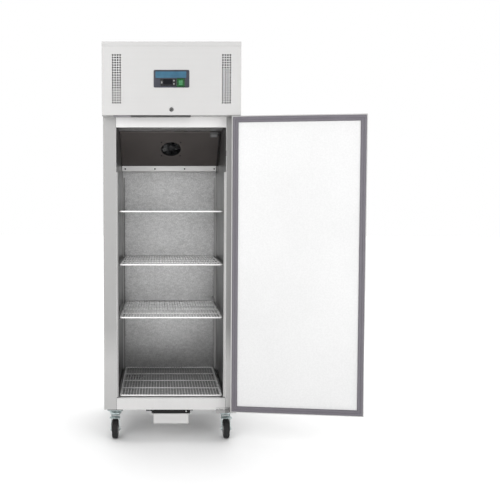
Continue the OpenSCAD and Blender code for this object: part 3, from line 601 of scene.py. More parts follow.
def rounded_profile(points, radius, steps=3):
    """A closed outline with its corners cut by arcs; a corner's own radius can follow its two numbers."""
    out = []
    corners = [Vector(point[:2]) for point in points]
    for i, point in enumerate(points):
        r = point[2] if len(point) > 2 else radius
        out += corner_arc(corners[i - 1], corners[i], corners[(i + 1) % len(points)], r, steps)
    return [tuple(p) for p in out]


def filleted(points, radius, closed=False, steps=6):
    """The points of a path with its corners rounded."""
    points = [Vector(p) for p in points]
    out = []
    for i, p in enumerate(points):
        if closed or 0 < i < len(points) - 1:
            out += corner_arc(points[i - 1], p, points[(i + 1) % len(points)], radius, steps)
        else:
            out.append(p)
    return out


def rounded_rectangle(width, height, radius, centre=(0, 0), steps=5):
    x, y = width / 2, height / 2
    corners = [(-x, -y), (x, -y), (x, y), (-x, y)]
    return [(u + centre[0], v + centre[1]) for u, v in rounded_profile(corners, radius, steps)]


def front_outline(lo, hi, radius, grow=0.0, steps=5):
    """A rounded rectangle over a box, as seen from the front."""
    return rounded_rectangle(hi.x - lo.x + 2 * grow, hi.z - lo.z + 2 * grow, radius,
                             ((lo.x + hi.x) / 2, (lo.z + hi.z) / 2), steps)


def add_plate(bm, outlines, thickness, matrix, bevel=0.0, segments=2):
    """A flat plate: the first outline with the others cut out of it, extruded along the matrix's Z."""
    part = bmesh.new()
    for outline in outlines:
        ring = [part.verts.new((u, v, 0)) for u, v in outline]
        for a, b in zip(ring, ring[1:] + ring[:1]):
            part.edges.new((a, b))
    bmesh.ops.triangle_fill(part, edges=part.edges[:], use_beauty=True, use_dissolve=False, normal=(0, 0, 1))
    made = bmesh.ops.extrude_face_region(part, geom=part.faces[:])
    bmesh.ops.translate(part, verts=[v for v in made["geom"] if isinstance(v, bmesh.types.BMVert)],
                        vec=(0, 0, thickness))
    bmesh.ops.recalc_face_normals(part, faces=part.faces[:])
    if bevel:
        rims = [e for e in part.edges if len(e.link_faces) == 2 and e.calc_face_angle() > math.radians(50)
                and abs(e.verts[0].co.z - e.verts[1].co.z) < 1e-9]
        bmesh.ops.bevel(part, geom=rims, offset=bevel, segments=segments, profile=0.5, affect="EDGES")
    merge(bm, part, matrix)


def add_tube(bm, points, radius, sides=14, closed=False):
    """A round rod along a path, with slightly rounded ends."""
    points = [Vector(p) for p in points]
    count = len(points)
    part = bmesh.new()
    up = None
    rings = []
    for i, p in enumerate(points):
        if closed:
            tangent = points[(i + 1) % count] - points[i - 1]
        else:
            tangent = points[min(i + 1, count - 1)] - points[max(i - 1, 0)]
        tangent.normalize()
        if up is None:
            up = tangent.orthogonal().normalized()
        up = (up - tangent * up.dot(tangent)).normalized()
        side = tangent.cross(up)
        rings.append([part.verts.new(p + up * x + side * y) for x, y in circle(radius, sides)])
    if closed:
        # the last ring meets the first one corner by nearest corner
        first, last = rings[0], rings[-1]
        shift = min(range(sides), key=lambda s: (last[0].co - first[s].co).length)
        rings.append(first[shift:] + first[:shift])
    bridge(part, rings)
    if not closed:
        for ring in (rings[0], rings[-1]):
            face = part.faces.new(ring)
            bmesh.ops.bevel(part, geom=list(face.edges), offset=radius * 0.35, segments=2, profile=0.5,
                            affect="EDGES")
    bmesh.ops.recalc_face_normals(part, faces=part.faces[:])
    merge(bm, part)


def finish_piece(name, bm, material, replaces=(), sharp=38, matrix=None, body="cabinet"):
    """Turns bm into a piece that rides on a body and takes its finish from the materials table."""
    if matrix is not None:
        bm.transform(matrix)
    bmesh.ops.recalc_face_normals(bm, faces=bm.faces[:])
    mesh = bpy.data.meshes.new(name)
    bm.to_mesh(mesh)
    bm.free()
    mesh.polygons.foreach_set("use_smooth", [True] * len(mesh.polygons))
    mesh.set_sharp_from_angle(angle=math.radians(sharp))
    mesh.materials.append(materials[material])
    piece = bpy.data.objects.new(name, mesh)
    scene.collection.objects.link(piece)
    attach(piece, body)
    if replaces:
        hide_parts(*replaces)


def local_box(node, matrix):
    """A node's lowest and highest corners, seen in another frame."""
    points = [matrix.inverted() @ v.co for v in nodes[node].data.vertices]
    return (Vector(min(p[i] for p in points) for i in range(3)),
            Vector(max(p[i] for p in points) for i in range(3)))


def facing(depth):
    """A frame on a wall at that depth: X across, Y up, Z out of the wall towards the viewer."""
    return Matrix.Translation((0, depth, 0)) @ Matrix.Rotation(math.radians(90), 4, "X")


# Frames of the moving parts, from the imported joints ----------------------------

UPRIGHT = Matrix(((0, 0, 1, 0), (1, 0, 0, 0), (0, 1, 0, 0), (0, 0, 0, 1)))    # a plate seen from the side
hinge = joints["door_hinge"]
door_matrix = (Matrix.Translation(hinge["pos_m"])
               @ Matrix.Rotation(math.radians(-hinge["range_deg"][0]), 4, "Z")
               @ Matrix.Translation(-Vector(hinge["pos_m"])))
fan_joint = joints["evaporator_fan_spin"]
fan_normal = Vector(fan_joint["axis"]).normalized()
slope_matrix = (Matrix.Translation(fan_joint["pos_m"])
                @ Matrix((Vector((1, 0, 0)), fan_normal.cross(Vector((1, 0, 0))), fan_normal))
                .transposed().to_4x4())
rocker_at = Vector(joints["rocker_press"]["pos_m"])
rocker_matrix = Matrix.Translation(rocker_at) @ Matrix.Rotation(math.radians(5), 4, "X")


# CAD nodes that keep their shape -------------------------------------------------

# material, radius of the edges in millimetres, nodes
DRESSED = (
    ("steel_shell", 0.4, "outer_shell"), ("steel_door", 0.4, "door_skin"),
    ("steel_box", 0.4, "header_sides"), ("steel_frame", 0.3, "face_frame"),
    ("steel_fascia", 0.4, "header_fascia"), ("steel_lid", 0.4, "header_lid"),
    ("steel_tray", 0.4, "drip_tray"), ("steel_fold", 0.2, "shelf_runners"),
    ("steel_rack", 0.2, "rack_uprights"), ("liner", 0, "inner_liner"), ("strip", 0.3, "breaker_strips"),
    ("foam", 0, "foam_insulation door_foam"), ("black_paint", 0.5, "underframe"),
    ("carrier", 0.3, "tray_rails"), ("black_paint", 0, "compressor"),
    ("dark_panel", 0.4, "evaporator_cover"), ("black_plastic", 0, "fan_frame condenser_shroud"),
    ("aluminium", 0, "evaporator_coil condenser_coil"), ("grille", 0, "rear_grille"),
    ("steel_pan", 0.4, "drain_pan"), ("white_plastic", 0, "drain_pipe hinge_bushes"),
    ("copper", 0, "refrigerant_pipes"), ("grey_plastic", 1, "electrical_box"),
    ("black_plastic", 0.3, "power_inlet"), ("door_liner", 0.2, "door_panel"),
    ("steel_bracket", 0.4, "hinge_brackets"), ("dark_nickel", 0.2, "lock_barrel"))


def dress(node, material, edge):
    """Gives a CAD node a material, and small radii along its sharp edges where edge isn't 0."""
    node.data.materials.clear()
    node.data.materials.append(material)
    if not edge:
        return
    node.modifiers.new("weld", "WELD").merge_threshold = 1e-5
    planar = node.modifiers.new("planar", "DECIMATE")
    planar.decimate_type = "DISSOLVE"
    planar.angle_limit = math.radians(1)
    bevel = node.modifiers.new("edges", "BEVEL")
    bevel.width = edge
    bevel.segments = 2
    bevel.limit_method = "ANGLE"
    bevel.angle_limit = math.radians(32)
    flatten = node.modifiers.new("flatten", "WEIGHTED_NORMAL")
    flatten.keep_sharp = True
    flatten.weight = 80


# Shelves ------------------------------------------------------------------------

def make_shelf(name):
    """Coated wire shelf: a heavy rim, three ties under it and close wires over the ties."""
    lo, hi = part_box(name)
    rim = (hi.z - lo.z) / 2
    centre = (hi.z + lo.z) / 2
    wire, tie = 1.75 * MM, 2.5 * MM
    pitch = 14.8 * MM
    left, right = lo.x + rim, hi.x - rim
    corners = [(x, y, centre) for x, y in
               ((left, lo.y + rim), (right, lo.y + rim), (right, hi.y - rim), (left, hi.y - rim))]
    bm = bmesh.new()
    add_tube(bm, filleted(corners, 9 * MM, closed=True), rim, 16, closed=True)
    for share in (0.25, 0.5, 0.75):
        y, z = lo.y + (hi.y - lo.y) * share, lo.z + tie + 0.4 * MM
        add_tube(bm, [(left, y, z), (right, y, z)], tie, 10)
    half_count = int((hi.x - 2 * rim) / pitch)
    top = hi.z - wire - 0.1 * MM
    for k in range(-half_count, half_count + 1):
        add_tube(bm, [(k * pitch, lo.y + 2.5 * MM, top), (k * pitch, hi.y - 2.5 * MM, top)], wire, 10)
    finish_piece(f"wire_{name}", bm, "coating", [name], 50, body=name)


# Door ---------------------------------------------------------------------------

def make_gasket():
    """Magnetic seal: a flange and a bellows with a groove along its middle, mitred at the corners."""
    lo, hi = local_box("door_gasket", door_matrix)
    depth = (hi.y - lo.y) / MM
    section = mm((0, 0), (0, 3.4), (4, 3.8), (4.4, depth), (11.5, depth), (13, depth - 2.2),
                 (16, depth - 2.2), (17.5, depth), (25, depth), (25.6, 3.8), (28, 3.2), (28, 0))
    bm = bmesh.new()
    rings = [[bm.verts.new((x, lo.y + v, z)) for x, z in
              ((lo.x + u, lo.z + u), (hi.x - u, lo.z + u), (hi.x - u, hi.z - u), (lo.x + u, hi.z - u))]
             for u, v in rounded_profile(section, 0.9 * MM)]
    bridge(bm, rings + rings[:1])
    finish_piece("door_seal", bm, "gasket", ["door_gasket"], 45, door_matrix, "door")


def make_grip():
    """Recessed finger pull: a rounded flange around a pocket with a rolled inner lip."""
    lo, hi = local_box("door_grip", door_matrix)
    flange = 1.2 * MM
    face = lo.y + flange
    rim = 5 * MM
    bm = bmesh.new()
    add_plate(bm, [front_outline(lo, hi, 6 * MM), front_outline(lo, hi, 4 * MM, -rim)], flange, facing(face),
              0.5 * MM)
    # the pocket's walls and floor, one ring per depth
    levels = mm((0, 0), (0.5, 2), (1, 20), (2.5, 24), (7, (hi.y - face) / MM - 2))
    part = bmesh.new()
    rings = [[part.verts.new((u, face + depth, v))
              for u, v in front_outline(lo, hi, max(4 * MM - inset * 0.3, 1 * MM), -rim - inset)]
             for inset, depth in levels]
    bridge(part, rings)
    part.faces.new(rings[-1])
    bmesh.ops.solidify(part, geom=part.faces[:], thickness=-1.4 * MM)
    merge(bm, part)
    finish_piece("finger_pull", bm, "black_plastic", ["door_grip"], 35, door_matrix, "door")


# Controls -----------------------------------------------------------------------

def make_controls():
    """The panel's bezel with the switch's rim and housing, and the plain blue strip."""
    lo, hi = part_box("control_bezel")
    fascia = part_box("header_fascia")[0].y
    proud = facing(fascia - 1.95 * MM)
    r_lo, r_hi = local_box("power_rocker", rocker_matrix)
    wide, tall = r_hi.x - r_lo.x, r_hi.z - r_lo.z
    rocker = (rocker_at.x, rocker_at.z)
    switch_hole = rounded_rectangle(wide + 2 * MM, tall + 3 * MM, 1 * MM, rocker)
    bm = bmesh.new()
    add_plate(bm, [front_outline(lo, hi, 7 * MM, steps=8),
                   front_outline(*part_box("thermostat"), 2 * MM, 0.2 * MM), switch_hole],
              2 * MM, facing(fascia), 0.7 * MM)
    half = Vector((17, 0, 19)) * MM
    ahead = Vector((rocker[0], fascia, rocker[1]))
    add_box(bm, ahead - half + Vector((0, 5 * MM, 0)), ahead + half + Vector((0, 26 * MM, 0)), 1 * MM)
    finish_piece("bezel", bm, "bezel", ["control_bezel"])
    bm = bmesh.new()
    add_plate(bm, [rounded_rectangle(wide + 7 * MM, tall + 7 * MM, 3 * MM, rocker), switch_hole],
              1.2 * MM, proud, 0.4 * MM)
    finish_piece("switch_rim", bm, "green")
    bm = bmesh.new()
    strip_at = ((lo.x + hi.x) / 2 - 3 * MM, hi.z - 23 * MM)
    add_plate(bm, [rounded_rectangle(150 * MM, 31 * MM, 3 * MM, strip_at)], 0.35 * MM, proud, 0.12 * MM)
    finish_piece("blue_strip", bm, "blue")


def make_thermostat():
    """Housing with a dark window, three soft keys and a pale mark on each key."""
    lo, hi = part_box("thermostat")
    keys = ("button_set", "button_up", "button_down")
    inset = Vector((1, 0, 1)) * MM
    bm = bmesh.new()
    wells = [front_outline(*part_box(name), 1.5 * MM, 0.4 * MM, 4) for name in keys]
    add_plate(bm, [front_outline(lo, hi, 2 * MM), *wells], 6 * MM, facing(lo.y + 6 * MM), 0.3 * MM)
    add_box(bm, lo + inset + Vector((0, 6 * MM, 0)), hi - inset, 1 * MM)
    finish_piece("thermostat_case", bm, "control_case", ["thermostat"])
    left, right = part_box("button_set")[1].x + 3 * MM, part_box("button_up")[0].x - 3 * MM
    bm = bmesh.new()
    add_plate(bm, [rounded_rectangle(right - left, hi.z - lo.z - 5 * MM, 1.5 * MM,
                                     ((left + right) / 2, (lo.z + hi.z) / 2))],
              0.35 * MM, facing(lo.y + 0.1 * MM), 0.12 * MM)
    finish_piece("display_window", bm, "display")
    arrow = Vector((2.4 * MM, 0))
    for name in keys:
        k_lo, k_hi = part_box(name)
        bm = bmesh.new()
        cap = front_outline(k_lo, k_hi, 1.5 * MM, steps=4)
        add_plate(bm, [cap], k_hi.y - k_lo.y, facing(k_hi.y), 0.5 * MM, 3)
        finish_piece(f"{name}_cap", bm, "key", [name], body=f"{name}_body")
        centre = Vector(((k_lo.x + k_hi.x) / 2, (k_lo.z + k_hi.z) / 2))
        if name == "button_set":
            shape = rounded_rectangle(4.4 * MM, 1.6 * MM, 0.5 * MM, centre)
        else:
            tip = Vector((0, arrow.x if name == "button_up" else -arrow.x))
            foot = centre - tip * 0.6
            shape = rounded_profile([foot - arrow, foot + arrow, centre + tip], 0.4 * MM)
        bm = bmesh.new()
        add_plate(bm, [shape], 0.25 * MM, facing(k_lo.y + 0.1 * MM))
        finish_piece(f"{name}_mark", bm, "mark", body=f"{name}_body")


def make_rocker():
    """Dished rocker with a paler lens in its middle, tilted 5 degrees as it stands at rest."""
    lo, hi = local_box("power_rocker", rocker_matrix)
    half = (hi.z - lo.z) / 2
    dish = 1.4 * MM
    steps = 14

    def front(z):
        return lo.y + dish * (1 - (z / half) ** 2)

    lamp_back = front(0) + 0.2 * MM
    for name, material, width, reach, proud, back, bevel, stands_for in (
            ("rocker_lens", "green", hi.x - lo.x, half, 0, hi.y, 0.8 * MM, ["power_rocker"]),
            ("rocker_lamp", "green_lit", 17 * MM, 11 * MM, 0.2 * MM, lamp_back, 0.12 * MM, [])):
        line = [-reach + 2 * reach * k / steps for k in range(steps + 1)]
        outline = [(front(z) - proud, z) for z in line] + [(back, reach), (back, -reach)]
        bm = bmesh.new()
        add_plate(bm, [outline], width, Matrix.Translation((-width / 2, 0, 0)) @ UPRIGHT, bevel)
        finish_piece(name, bm, material, stands_for, 30, rocker_matrix, "rocker")


def make_lock():
    """Escutcheon with a rolled rim around the barrel."""
    section = mm((7.05, -14), (7.05, 1.2), (8, 1.6), (10.4, 1.5), (11, 0), (9.4, 0), (9.4, -14))
    bm = bmesh.new()
    add_lathe(bm, rounded_profile(section, 0.4 * MM), joints["lock_turn"]["pos_m"], FRONT, 48)
    finish_piece("lock_escutcheon", bm, "dark_nickel", ["lock_housing"])


# Evaporator housing -------------------------------------------------------------

def fan_blades(name, node, matrix, hub, tip, count, chord, twist, body):
    """A moulded fan: a cup hub with a domed cap and cambered, twisted blades."""
    lo, hi = local_box(node, matrix)
    low, high = lo.z, hi.z
    middle = (low + high) / 2
    bm = bmesh.new()
    rows, columns = 7, 6
    for k in range(count):
        grid = []
        for i in range(rows + 1):
            s = i / rows
            radius = hub - 1 * MM + (tip - hub) * s
            tilt = math.radians(twist[0] + (twist[1] - twist[0]) * s)
            width = chord * (0.78 + 0.36 * math.sin(math.pi * (0.25 + 0.5 * s)))
            line = []
            for j in range(columns + 1):
                t = j / columns - 0.5
                along = t * width
                camber = 0.10 * width * (1 - 4 * t * t)
                y = along * math.cos(tilt) - camber * math.sin(tilt)
                z = middle + along * math.sin(tilt) + camber * math.cos(tilt) * 0.5
                z = max(low + 0.6 * MM, min(high - 0.6 * MM, z))
                angle = k * math.tau / count + y / radius + 0.10 * s
                line.append(bm.verts.new((radius * math.cos(angle), radius * math.sin(angle), z)))
            grid.append(line)
        for a, b in zip(grid, grid[1:]):
            for j in range(columns):
                bm.faces.new((a[j], a[j + 1], b[j + 1], b[j]))
    bmesh.ops.recalc_face_normals(bm, faces=bm.faces[:])
    bmesh.ops.solidify(bm, geom=bm.faces[:], thickness=1.2 * MM)
    cap = [(hub - 3 * MM, low), (hub, low + 3 * MM), (hub, high), (hub - 2 * MM, high),
           (hub - 2 * MM, low + 6 * MM), (0, low + 4 * MM), (0, low + 0.6 * MM), (hub * 0.5, low)]
    add_lathe(bm, rounded_profile(cap[:5], 0.8 * MM) + cap[5:], segments=48)
    finish_piece(name, bm, "black_plastic", [node], 40, matrix, body)


def make_evaporator():
    """Both fans, the ring around the cover's opening and the folded hem along its top edge."""
    fan_blades("evaporator_propeller", "evaporator_fan", slope_matrix, 20 * MM, 52 * MM, 7, 21 * MM, (46, 26),
               "evaporator_rotor")
    spin = joints["condenser_fan_spin"]
    fan_blades("condenser_propeller", "condenser_fan",
               Matrix.Translation(spin["pos_m"]) @ frame_along(-Vector(spin["axis"])),
               30 * MM, 98 * MM, 5, 48 * MM, (34, 20), "condenser_rotor")
    lo, hi = local_box("evaporator_cover", slope_matrix)
    bm = bmesh.new()
    ring = mm((54.4, -1.6), (58.5, -1.6), (59.5, 0.1), (54.4, 0.4))
    add_lathe(bm, rounded_profile(ring, 0.7 * MM), segments=72)
    add_box(bm, (lo.x + 2 * MM, lo.y + 1 * MM, -1.1 * MM), (hi.x - 2 * MM, lo.y + 6 * MM, 0.2 * MM), 0.5 * MM)
    finish_piece("cover_trim", bm, "dark_panel", (), 35, slope_matrix)
    # the hem carries the cover's paint with a painted highlight
    bm = bmesh.new()
    bead_y = lo.y + 7.4 * MM
    bead_end = local_box("probe_lead", slope_matrix)[1].x - 60 * MM
    add_tube(bm, [(lo.x + 3 * MM, bead_y, 0), (bead_end, bead_y, 0)], 1.4 * MM, 12)
    finish_piece("cover_bead", bm, "bead_painted_highlight", (), 35, slope_matrix)


def make_probe():
    """The sensor's lead, its junction box and the pale fitting that it comes from."""
    lo, hi = local_box("probe_lead", slope_matrix)
    x_lead = hi.x - 7 * MM
    top = lo.y - 2.5 * MM
    pan_lo, pan_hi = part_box("drain_pan")
    start = slope_matrix @ Vector((x_lead, top + 13 * MM, -4 * MM))
    bend = Vector((start.x, pan_lo.y - 4 * MM, pan_hi.z - 1 * MM))
    end = Vector((bend.x, bend.y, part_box("probe_lead")[0].z + 0.2 * MM))
    bm = bmesh.new()
    add_tube(bm, filleted([start, bend, end], 14 * MM), 2.4 * MM)
    branch = [slope_matrix @ Vector((x, top + 27 * MM, -5 * MM)) for x in (x_lead - 10 * MM, x_lead)]
    add_tube(bm, branch, 1.8 * MM, 12)
    finish_piece("probe_cable", bm, "black_rubber", ["probe_lead"])
    bm = bmesh.new()
    add_box(bm, (x_lead - 7 * MM, top + 5 * MM, -11 * MM), (x_lead + 7 * MM, top + 19 * MM, 0), 2 * MM)
    finish_piece("probe_block", bm, "black_plastic", (), 35, slope_matrix)
    left, right = x_lead - 51 * MM, x_lead - 9 * MM
    bm = bmesh.new()
    add_box(bm, (left, lo.y, -14 * MM), (right, lo.y + 34 * MM, 0), 3 * MM)
    finish_piece("fitting_base", bm, "fitting", (), 35, slope_matrix)
    bm = bmesh.new()
    add_box(bm, (left + 6 * MM, lo.y + 9 * MM, -17 * MM), (right - 6 * MM, lo.y + 26 * MM, -13 * MM), 1.5 * MM)
    for side in (left + 3.5 * MM, right - 3.5 * MM):
        add_lathe(bm, mm((0, 0), (1.8, 0), (1.8, 0.8), (1.2, 1.2), (0, 1.2)),
                  (side, lo.y + 17 * MM, -14 * MM), (0, 0, -1), 20)
    finish_piece("fitting_cap", bm, "fitting_pale", (), 35, slope_matrix)


# Castors ------------------------------------------------------------------------

def add_hex(bm, at, axis, radius, height):
    """A hexagon head with a chamfered crown on a round washer."""
    add_plate(bm, [circle(radius, 6)], height, Matrix.Translation(at) @ frame_along(axis), 0.8 * MM)
    add_rod(bm, radius * 1.15, 0, 0.9 * MM, at, axis, 24)


def make_fork(number, trail):
    """A pressed crown, two legs with a rib, and the axle's bolt. Its outlines are in millimetres."""
    swivel = joints[f"castor_{number}_swivel"]["pos_m"]
    mirrored = Matrix.Diagonal((1, math.copysign(1, -trail), 1, 1))
    place = Matrix.Translation((swivel[0], swivel[1], 0)) @ mirrored
    reach = abs(trail) / MM
    crown = 133.5
    arm, sheet = 19 * MM, 3 * MM
    outside = arm + sheet
    bm = bmesh.new()
    cap = mm((0, crown - 12), (31, crown - 12), (31, crown - 4), (26, crown), (0, crown))
    add_lathe(bm, rounded_profile(cap, 2 * MM), segments=48)
    add_rod(bm, 8 * MM, (crown - 2) * MM, (crown + 12) * MM)
    leg = mm((-26, crown - 9, 5), (26, crown - 9, 5), (20, 94, 12), (15 - reach, 50, 12), (10 - reach, 37, 9),
             (-reach - 10, 37, 9), (-reach - 15, 52, 12), (-35, 106, 10))
    rib = mm((-16, crown - 16), (12, crown - 16), (5 - reach, 68), (-reach - 5, 68))
    for side in (-1, 1):
        for shape, corner, middle, thick, bevel in ((leg, 4 * MM, arm + sheet / 2, sheet, 0.9 * MM),
                                                    (rib, 5 * MM, outside + 0.4 * MM, 1.6 * MM, 0.7 * MM)):
            add_plate(bm, [rounded_profile(shape, corner, 5)], thick,
                      Matrix.Translation((side * middle - thick / 2, 0, 0)) @ UPRIGHT, bevel)
        add_hex(bm, (side * outside, -abs(trail), 50 * MM), (side, 0, 0), 8.6 * MM, 4.9 * MM)
    add_box(bm, (-outside, -24 * MM, (crown - 16.5) * MM), (outside, 24 * MM, (crown - 11) * MM), 1.5 * MM)
    add_rod(bm, 5.95 * MM, -outside, outside, (0, -abs(trail), 50 * MM), (1, 0, 0))
    finish_piece(f"castor_fork_{number}", bm, "zinc", [f"caster_fork_{number}"], 35, place,
                 f"castor_{number}")


def make_wheel(number, axle):
    """A tyre with rounded shoulders, and a ribbed hub."""
    body = f"wheel_{number}"
    tyre = rounded_profile(mm((36, -12), (44, -15.4), (48, -13.6), (49.95, -9), (49.95, 9), (48, 13.6),
                              (44, 15.4), (36, 12)), 2.5 * MM, 4)
    bm = bmesh.new()
    add_lathe(bm, tyre, axle, (1, 0, 0), 96)
    finish_piece(f"tyre_{number}", bm, "tyre", [f"caster_wheel_{number}"], body=body)
    hub = mm((6.05, -18.2), (15, -18.2), (17, -12), (32, -9.5), (36.6, -13), (36.6, 13), (32, 9.5),
             (17, 12), (15, 18.2), (6.05, 18.2))
    bm = bmesh.new()
    add_lathe(bm, rounded_profile(hub, 0.9 * MM), axle, (1, 0, 0), 64)
    for near, far in ((-12.6 * MM, -9 * MM), (9 * MM, 12.6 * MM)):
        for k in range(8):
            turn = Matrix.Translation(axle) @ Matrix.Rotation(k * math.tau / 8, 4, "X")
            add_box(bm, (near, -1.6 * MM, 15 * MM), (far, 1.6 * MM, 35 * MM), 0.6 * MM, 2, turn)
    finish_piece(f"hub_{number}", bm, "grey_plastic", body=body)


def make_pedal(number):
    """Brake pedal: a flat tread with four ribs across it, a hub block and its pin."""
    pivot = Vector(joints[f"pedal_{number}_press"]["pos_m"])
    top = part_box(f"brake_pedal_{number}")[1].z - pivot.z
    half = [(17.5, -4, 1), (17.5, -12, 3), (27, -20, 5), (27, -49.5, 6)]
    mirrored = [(-x, y, r) for x, y, r in half]
    tread = mm(mirrored[3], *reversed(half), *mirrored[:3])
    bm = bmesh.new()
    flat = Matrix.Translation((0, 0, top - 3 * MM))
    add_plate(bm, [rounded_profile(tread, 3 * MM, 5)], 2.6 * MM, flat, 0.8 * MM)
    for k in range(4):
        y = (-44 + k * 6.5) * MM
        add_box(bm, (-21 * MM, y, top - 0.9 * MM), (21 * MM, y + 2.6 * MM, top), 0.35 * MM, 2)
    add_box(bm, *mm((-17.5, -9.5, -4.5), (17.5, 4.8, 6.5)), 2 * MM)
    add_rod(bm, 2.95 * MM, -23.5 * MM, 23.5 * MM, axis=(1, 0, 0), segments=24)
    finish_piece(f"pedal_{number}", bm, "zinc", [f"brake_pedal_{number}"], 35,
                 Matrix.Translation(pivot), f"pedal_{number}")


def make_castor_plates():
    """Top plates with rounded corners, the ball races and four bolts each."""
    bm = bmesh.new()
    lo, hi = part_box("caster_plates")
    seat = hi.z - 4 * MM
    bore = 8.05 * MM
    for number in range(1, 5):
        at = Vector(joints[f"castor_{number}_swivel"]["pos_m"])
        at.z = 0
        add_plate(bm, [rounded_rectangle(80 * MM, 100 * MM, 8 * MM), circle(bore, 32)], 4 * MM,
                  Matrix.Translation(at + Vector((0, 0, seat))), 0.8 * MM)
        race = [(bore, lo.z), (30 * MM, lo.z), (32 * MM, lo.z + 3 * MM), (29 * MM, seat + 0.2 * MM),
                (bore, seat + 0.2 * MM)]
        add_lathe(bm, rounded_profile(race, 1.5 * MM), at, segments=56)
        for x, y in mm((-30, -38), (-30, 38), (30, -38), (30, 38)):
            add_hex(bm, at + Vector((x, y, seat)), (0, 0, -1), 6.8 * MM, 4.9 * MM)
    finish_piece("castor_plates", bm, "zinc", ["caster_plates"], 35)


# Screws and louvres -------------------------------------------------------------

def add_screw(bm, at, axis):
    """A domed pan head with a cross recess."""
    part = bmesh.new()
    radius, height = 4.5 * MM, 2.1 * MM
    profile = [(0, 0), (radius, 0), (radius, 0.7 * MM), (radius * 0.93, 1.3 * MM), (radius * 0.75, 1.8 * MM),
               (radius * 0.5, height), (0.5 * MM, height), (0.5 * MM, 1.1 * MM), (0, 1.1 * MM)]
    add_lathe(part, profile, segments=24)
    for v in part.verts:
        if abs(v.co.z - height) < 1e-7 and v.co.xy.length > radius * 0.45:
            sector = math.degrees(math.atan2(v.co.y, v.co.x)) % 90
            if min(sector, 90 - sector) < 8:
                v.co.z -= 0.9 * MM
    merge(bm, part, Matrix.Translation(at) @ frame_along(axis))


def islands(mesh):
    """The places of the vertices of each separate lump of a mesh."""
    bm = bmesh.new()
    bm.from_mesh(mesh)
    bmesh.ops.remove_doubles(bm, verts=bm.verts[:], dist=1e-6)
    seen = set()
    for v in bm.verts:
        if v in seen:
            continue
        seen.add(v)
        island, stack = [], [v]
        while stack:
            w = stack.pop()
            island.append(w.co.copy())
            fresh = [other for other in (e.other_vert(w) for e in w.link_edges) if other not in seen]
            seen.update(fresh)
            stack += fresh
        yield island
    bm.free()


def screw_axis(island, centre):
    """The outward direction of a screw: front, back or out of the evaporator cover."""
    def score(axis):
        along = [p.dot(axis) for p in island]
        across = [((p - centre) - axis * (p - centre).dot(axis)).length for p in island]
        head = [a for a, p in zip(across, along) if p > max(along) - 2.3 * MM]
        shank = [a for a, p in zip(across, along) if p < min(along) + 3 * MM]
        spread = max(head) - min(max(shank), 4.5 * MM)
        return abs(max(along) - min(along) - 8.1 * MM) - spread * 0.1
    return min((FRONT, -FRONT, -fan_normal), key=score)


def make_screws():
    """One head at each of the CAD screws, black inside the cavity."""
    heads, housing = bmesh.new(), bmesh.new()
    cavity_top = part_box("inner_liner")[1].z
    for island in islands(nodes["panel_screws"].data):
        centre = sum(island, Vector()) / len(island)
        axis = screw_axis(island, centre)
        along = [p.dot(axis) for p in island]
        wide = [p for p in island if p.dot(axis) > (min(along) + max(along)) / 2]
        rim = sum(wide, Vector()) / len(wide)
        seat = rim + axis * (max(along) - 2.2 * MM - rim.dot(axis))
        inside = -0.3 < seat.y < 0.35 and seat.z < cavity_top
        add_screw(housing if inside else heads, seat, axis)
    finish_piece("screw_heads", heads, "nickel", ["panel_screws"], 30)
    finish_piece("housing_screws", housing, "black_screw", ["panel_screws"], 30)


def make_louvres():
    """Pressed hoods over the slots of the rear panel, open downwards."""
    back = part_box("rear_grille")[1].y - 0.3 * MM
    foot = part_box("header_fascia")[0].z
    middle, half = 120 * MM, 103 * MM
    section = mm((0, 5), (2.2, 4.4), (4.6, 2), (6, -2.6), (5.2, -2.6), (3.8, 1.4), (1.8, 3.4), (0, 3.9))
    bm = bmesh.new()
    for side in (-1, 1):
        for row in range(12):
            z = foot + (120 + row * 16) * MM
            rings = []
            for share, scale in ((0, 0.05), (0.02, 0.75), (0.05, 1), (0.95, 1), (0.98, 0.75), (1, 0.05)):
                x = side * middle + half * (2 * share - 1)
                rings.append([bm.verts.new((x, back + u * scale, z + v)) for u, v in section])
            bridge(bm, rings)
            bm.faces.new(rings[0])
            bm.faces.new(rings[-1])
    finish_piece("louvre_hoods", bm, "galvanised", (), 50)


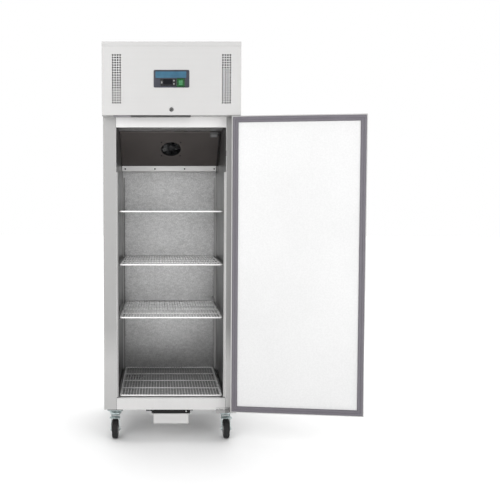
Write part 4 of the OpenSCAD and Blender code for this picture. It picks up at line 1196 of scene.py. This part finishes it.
def make_painted_overhang_shade():
    """Dark strips of painted shade under the header's overhang, clear of the lock cam's slot, and a paler one
    at the left where the shade is lighter.
    """
    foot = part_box("header_fascia")[0]
    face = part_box("face_frame")[0].y - 0.5 * MM
    # painted shade: dark strips where the overhang's underside lies in shadow, paler at the left
    strips = {"overhang_shade_dark": ("black_rubber", [(-0.20, -0.046, 3, None), (-0.0455, 0.0155, 3, 14.3),
                                                 (-0.0455, 0.0155, 25, None), (0.016, 0.095, 3, None)]),
              "overhang_shade_pale": ("gasket", [(-0.285, -0.2005, 3, None)])}
    for name, (material, places) in strips.items():
        bm = bmesh.new()
        for x0, x1, near, far in places:
            add_box(bm, (x0, foot.y + near * MM, foot.z - 1.6 * MM),
                    (x1, foot.y + far * MM if far else face, foot.z - 0.05 * MM), 0.5 * MM)
        finish_piece(name, bm, material)


def make_small_parts():
    """Black tabs under the body, one at each end of the tray's front plate, and the door's switch."""
    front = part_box("tray_rails")[0].y
    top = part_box("face_frame")[0].z
    bm = bmesh.new()
    for x0, x1, drop in ((-0.1275, -0.0955, 13), (0.0955, 0.112, 9.5)):
        add_box(bm, (x0, front - 2 * MM, top - drop * MM), (x1, front + 0.5 * MM, top - 0.4 * MM), 0.5 * MM)
    finish_piece("tray_tabs", bm, "black_paint")
    bm = bmesh.new()
    add_box(bm, *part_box("door_sensor"), 1.2 * MM)
    finish_piece("door_switch", bm, "black_plastic", ["door_sensor"])


make_camera()
make_studio()
make_floor()
materials = make_materials()
for material_name, edge_mm, dressed in DRESSED:
    for node_name in dressed.split():
        dress(nodes[node_name], materials[material_name], edge_mm * MM)
for shelf_number in range(1, 5):
    make_shelf(f"shelf_{shelf_number}")
make_gasket()
make_grip()
make_controls()
make_thermostat()
make_rocker()
make_lock()
make_evaporator()
make_probe()
make_castor_plates()
for castor_number in range(1, 5):
    axle_at = Vector(joints[f"wheel_{castor_number}_spin"]["pos_m"])
    make_fork(castor_number, axle_at.y - joints[f"castor_{castor_number}_swivel"]["pos_m"][1])
    make_wheel(castor_number, axle_at)
for pedal_number in (1, 2):
    make_pedal(pedal_number)
make_screws()
make_louvres()
make_painted_overhang_shade()
make_small_parts()
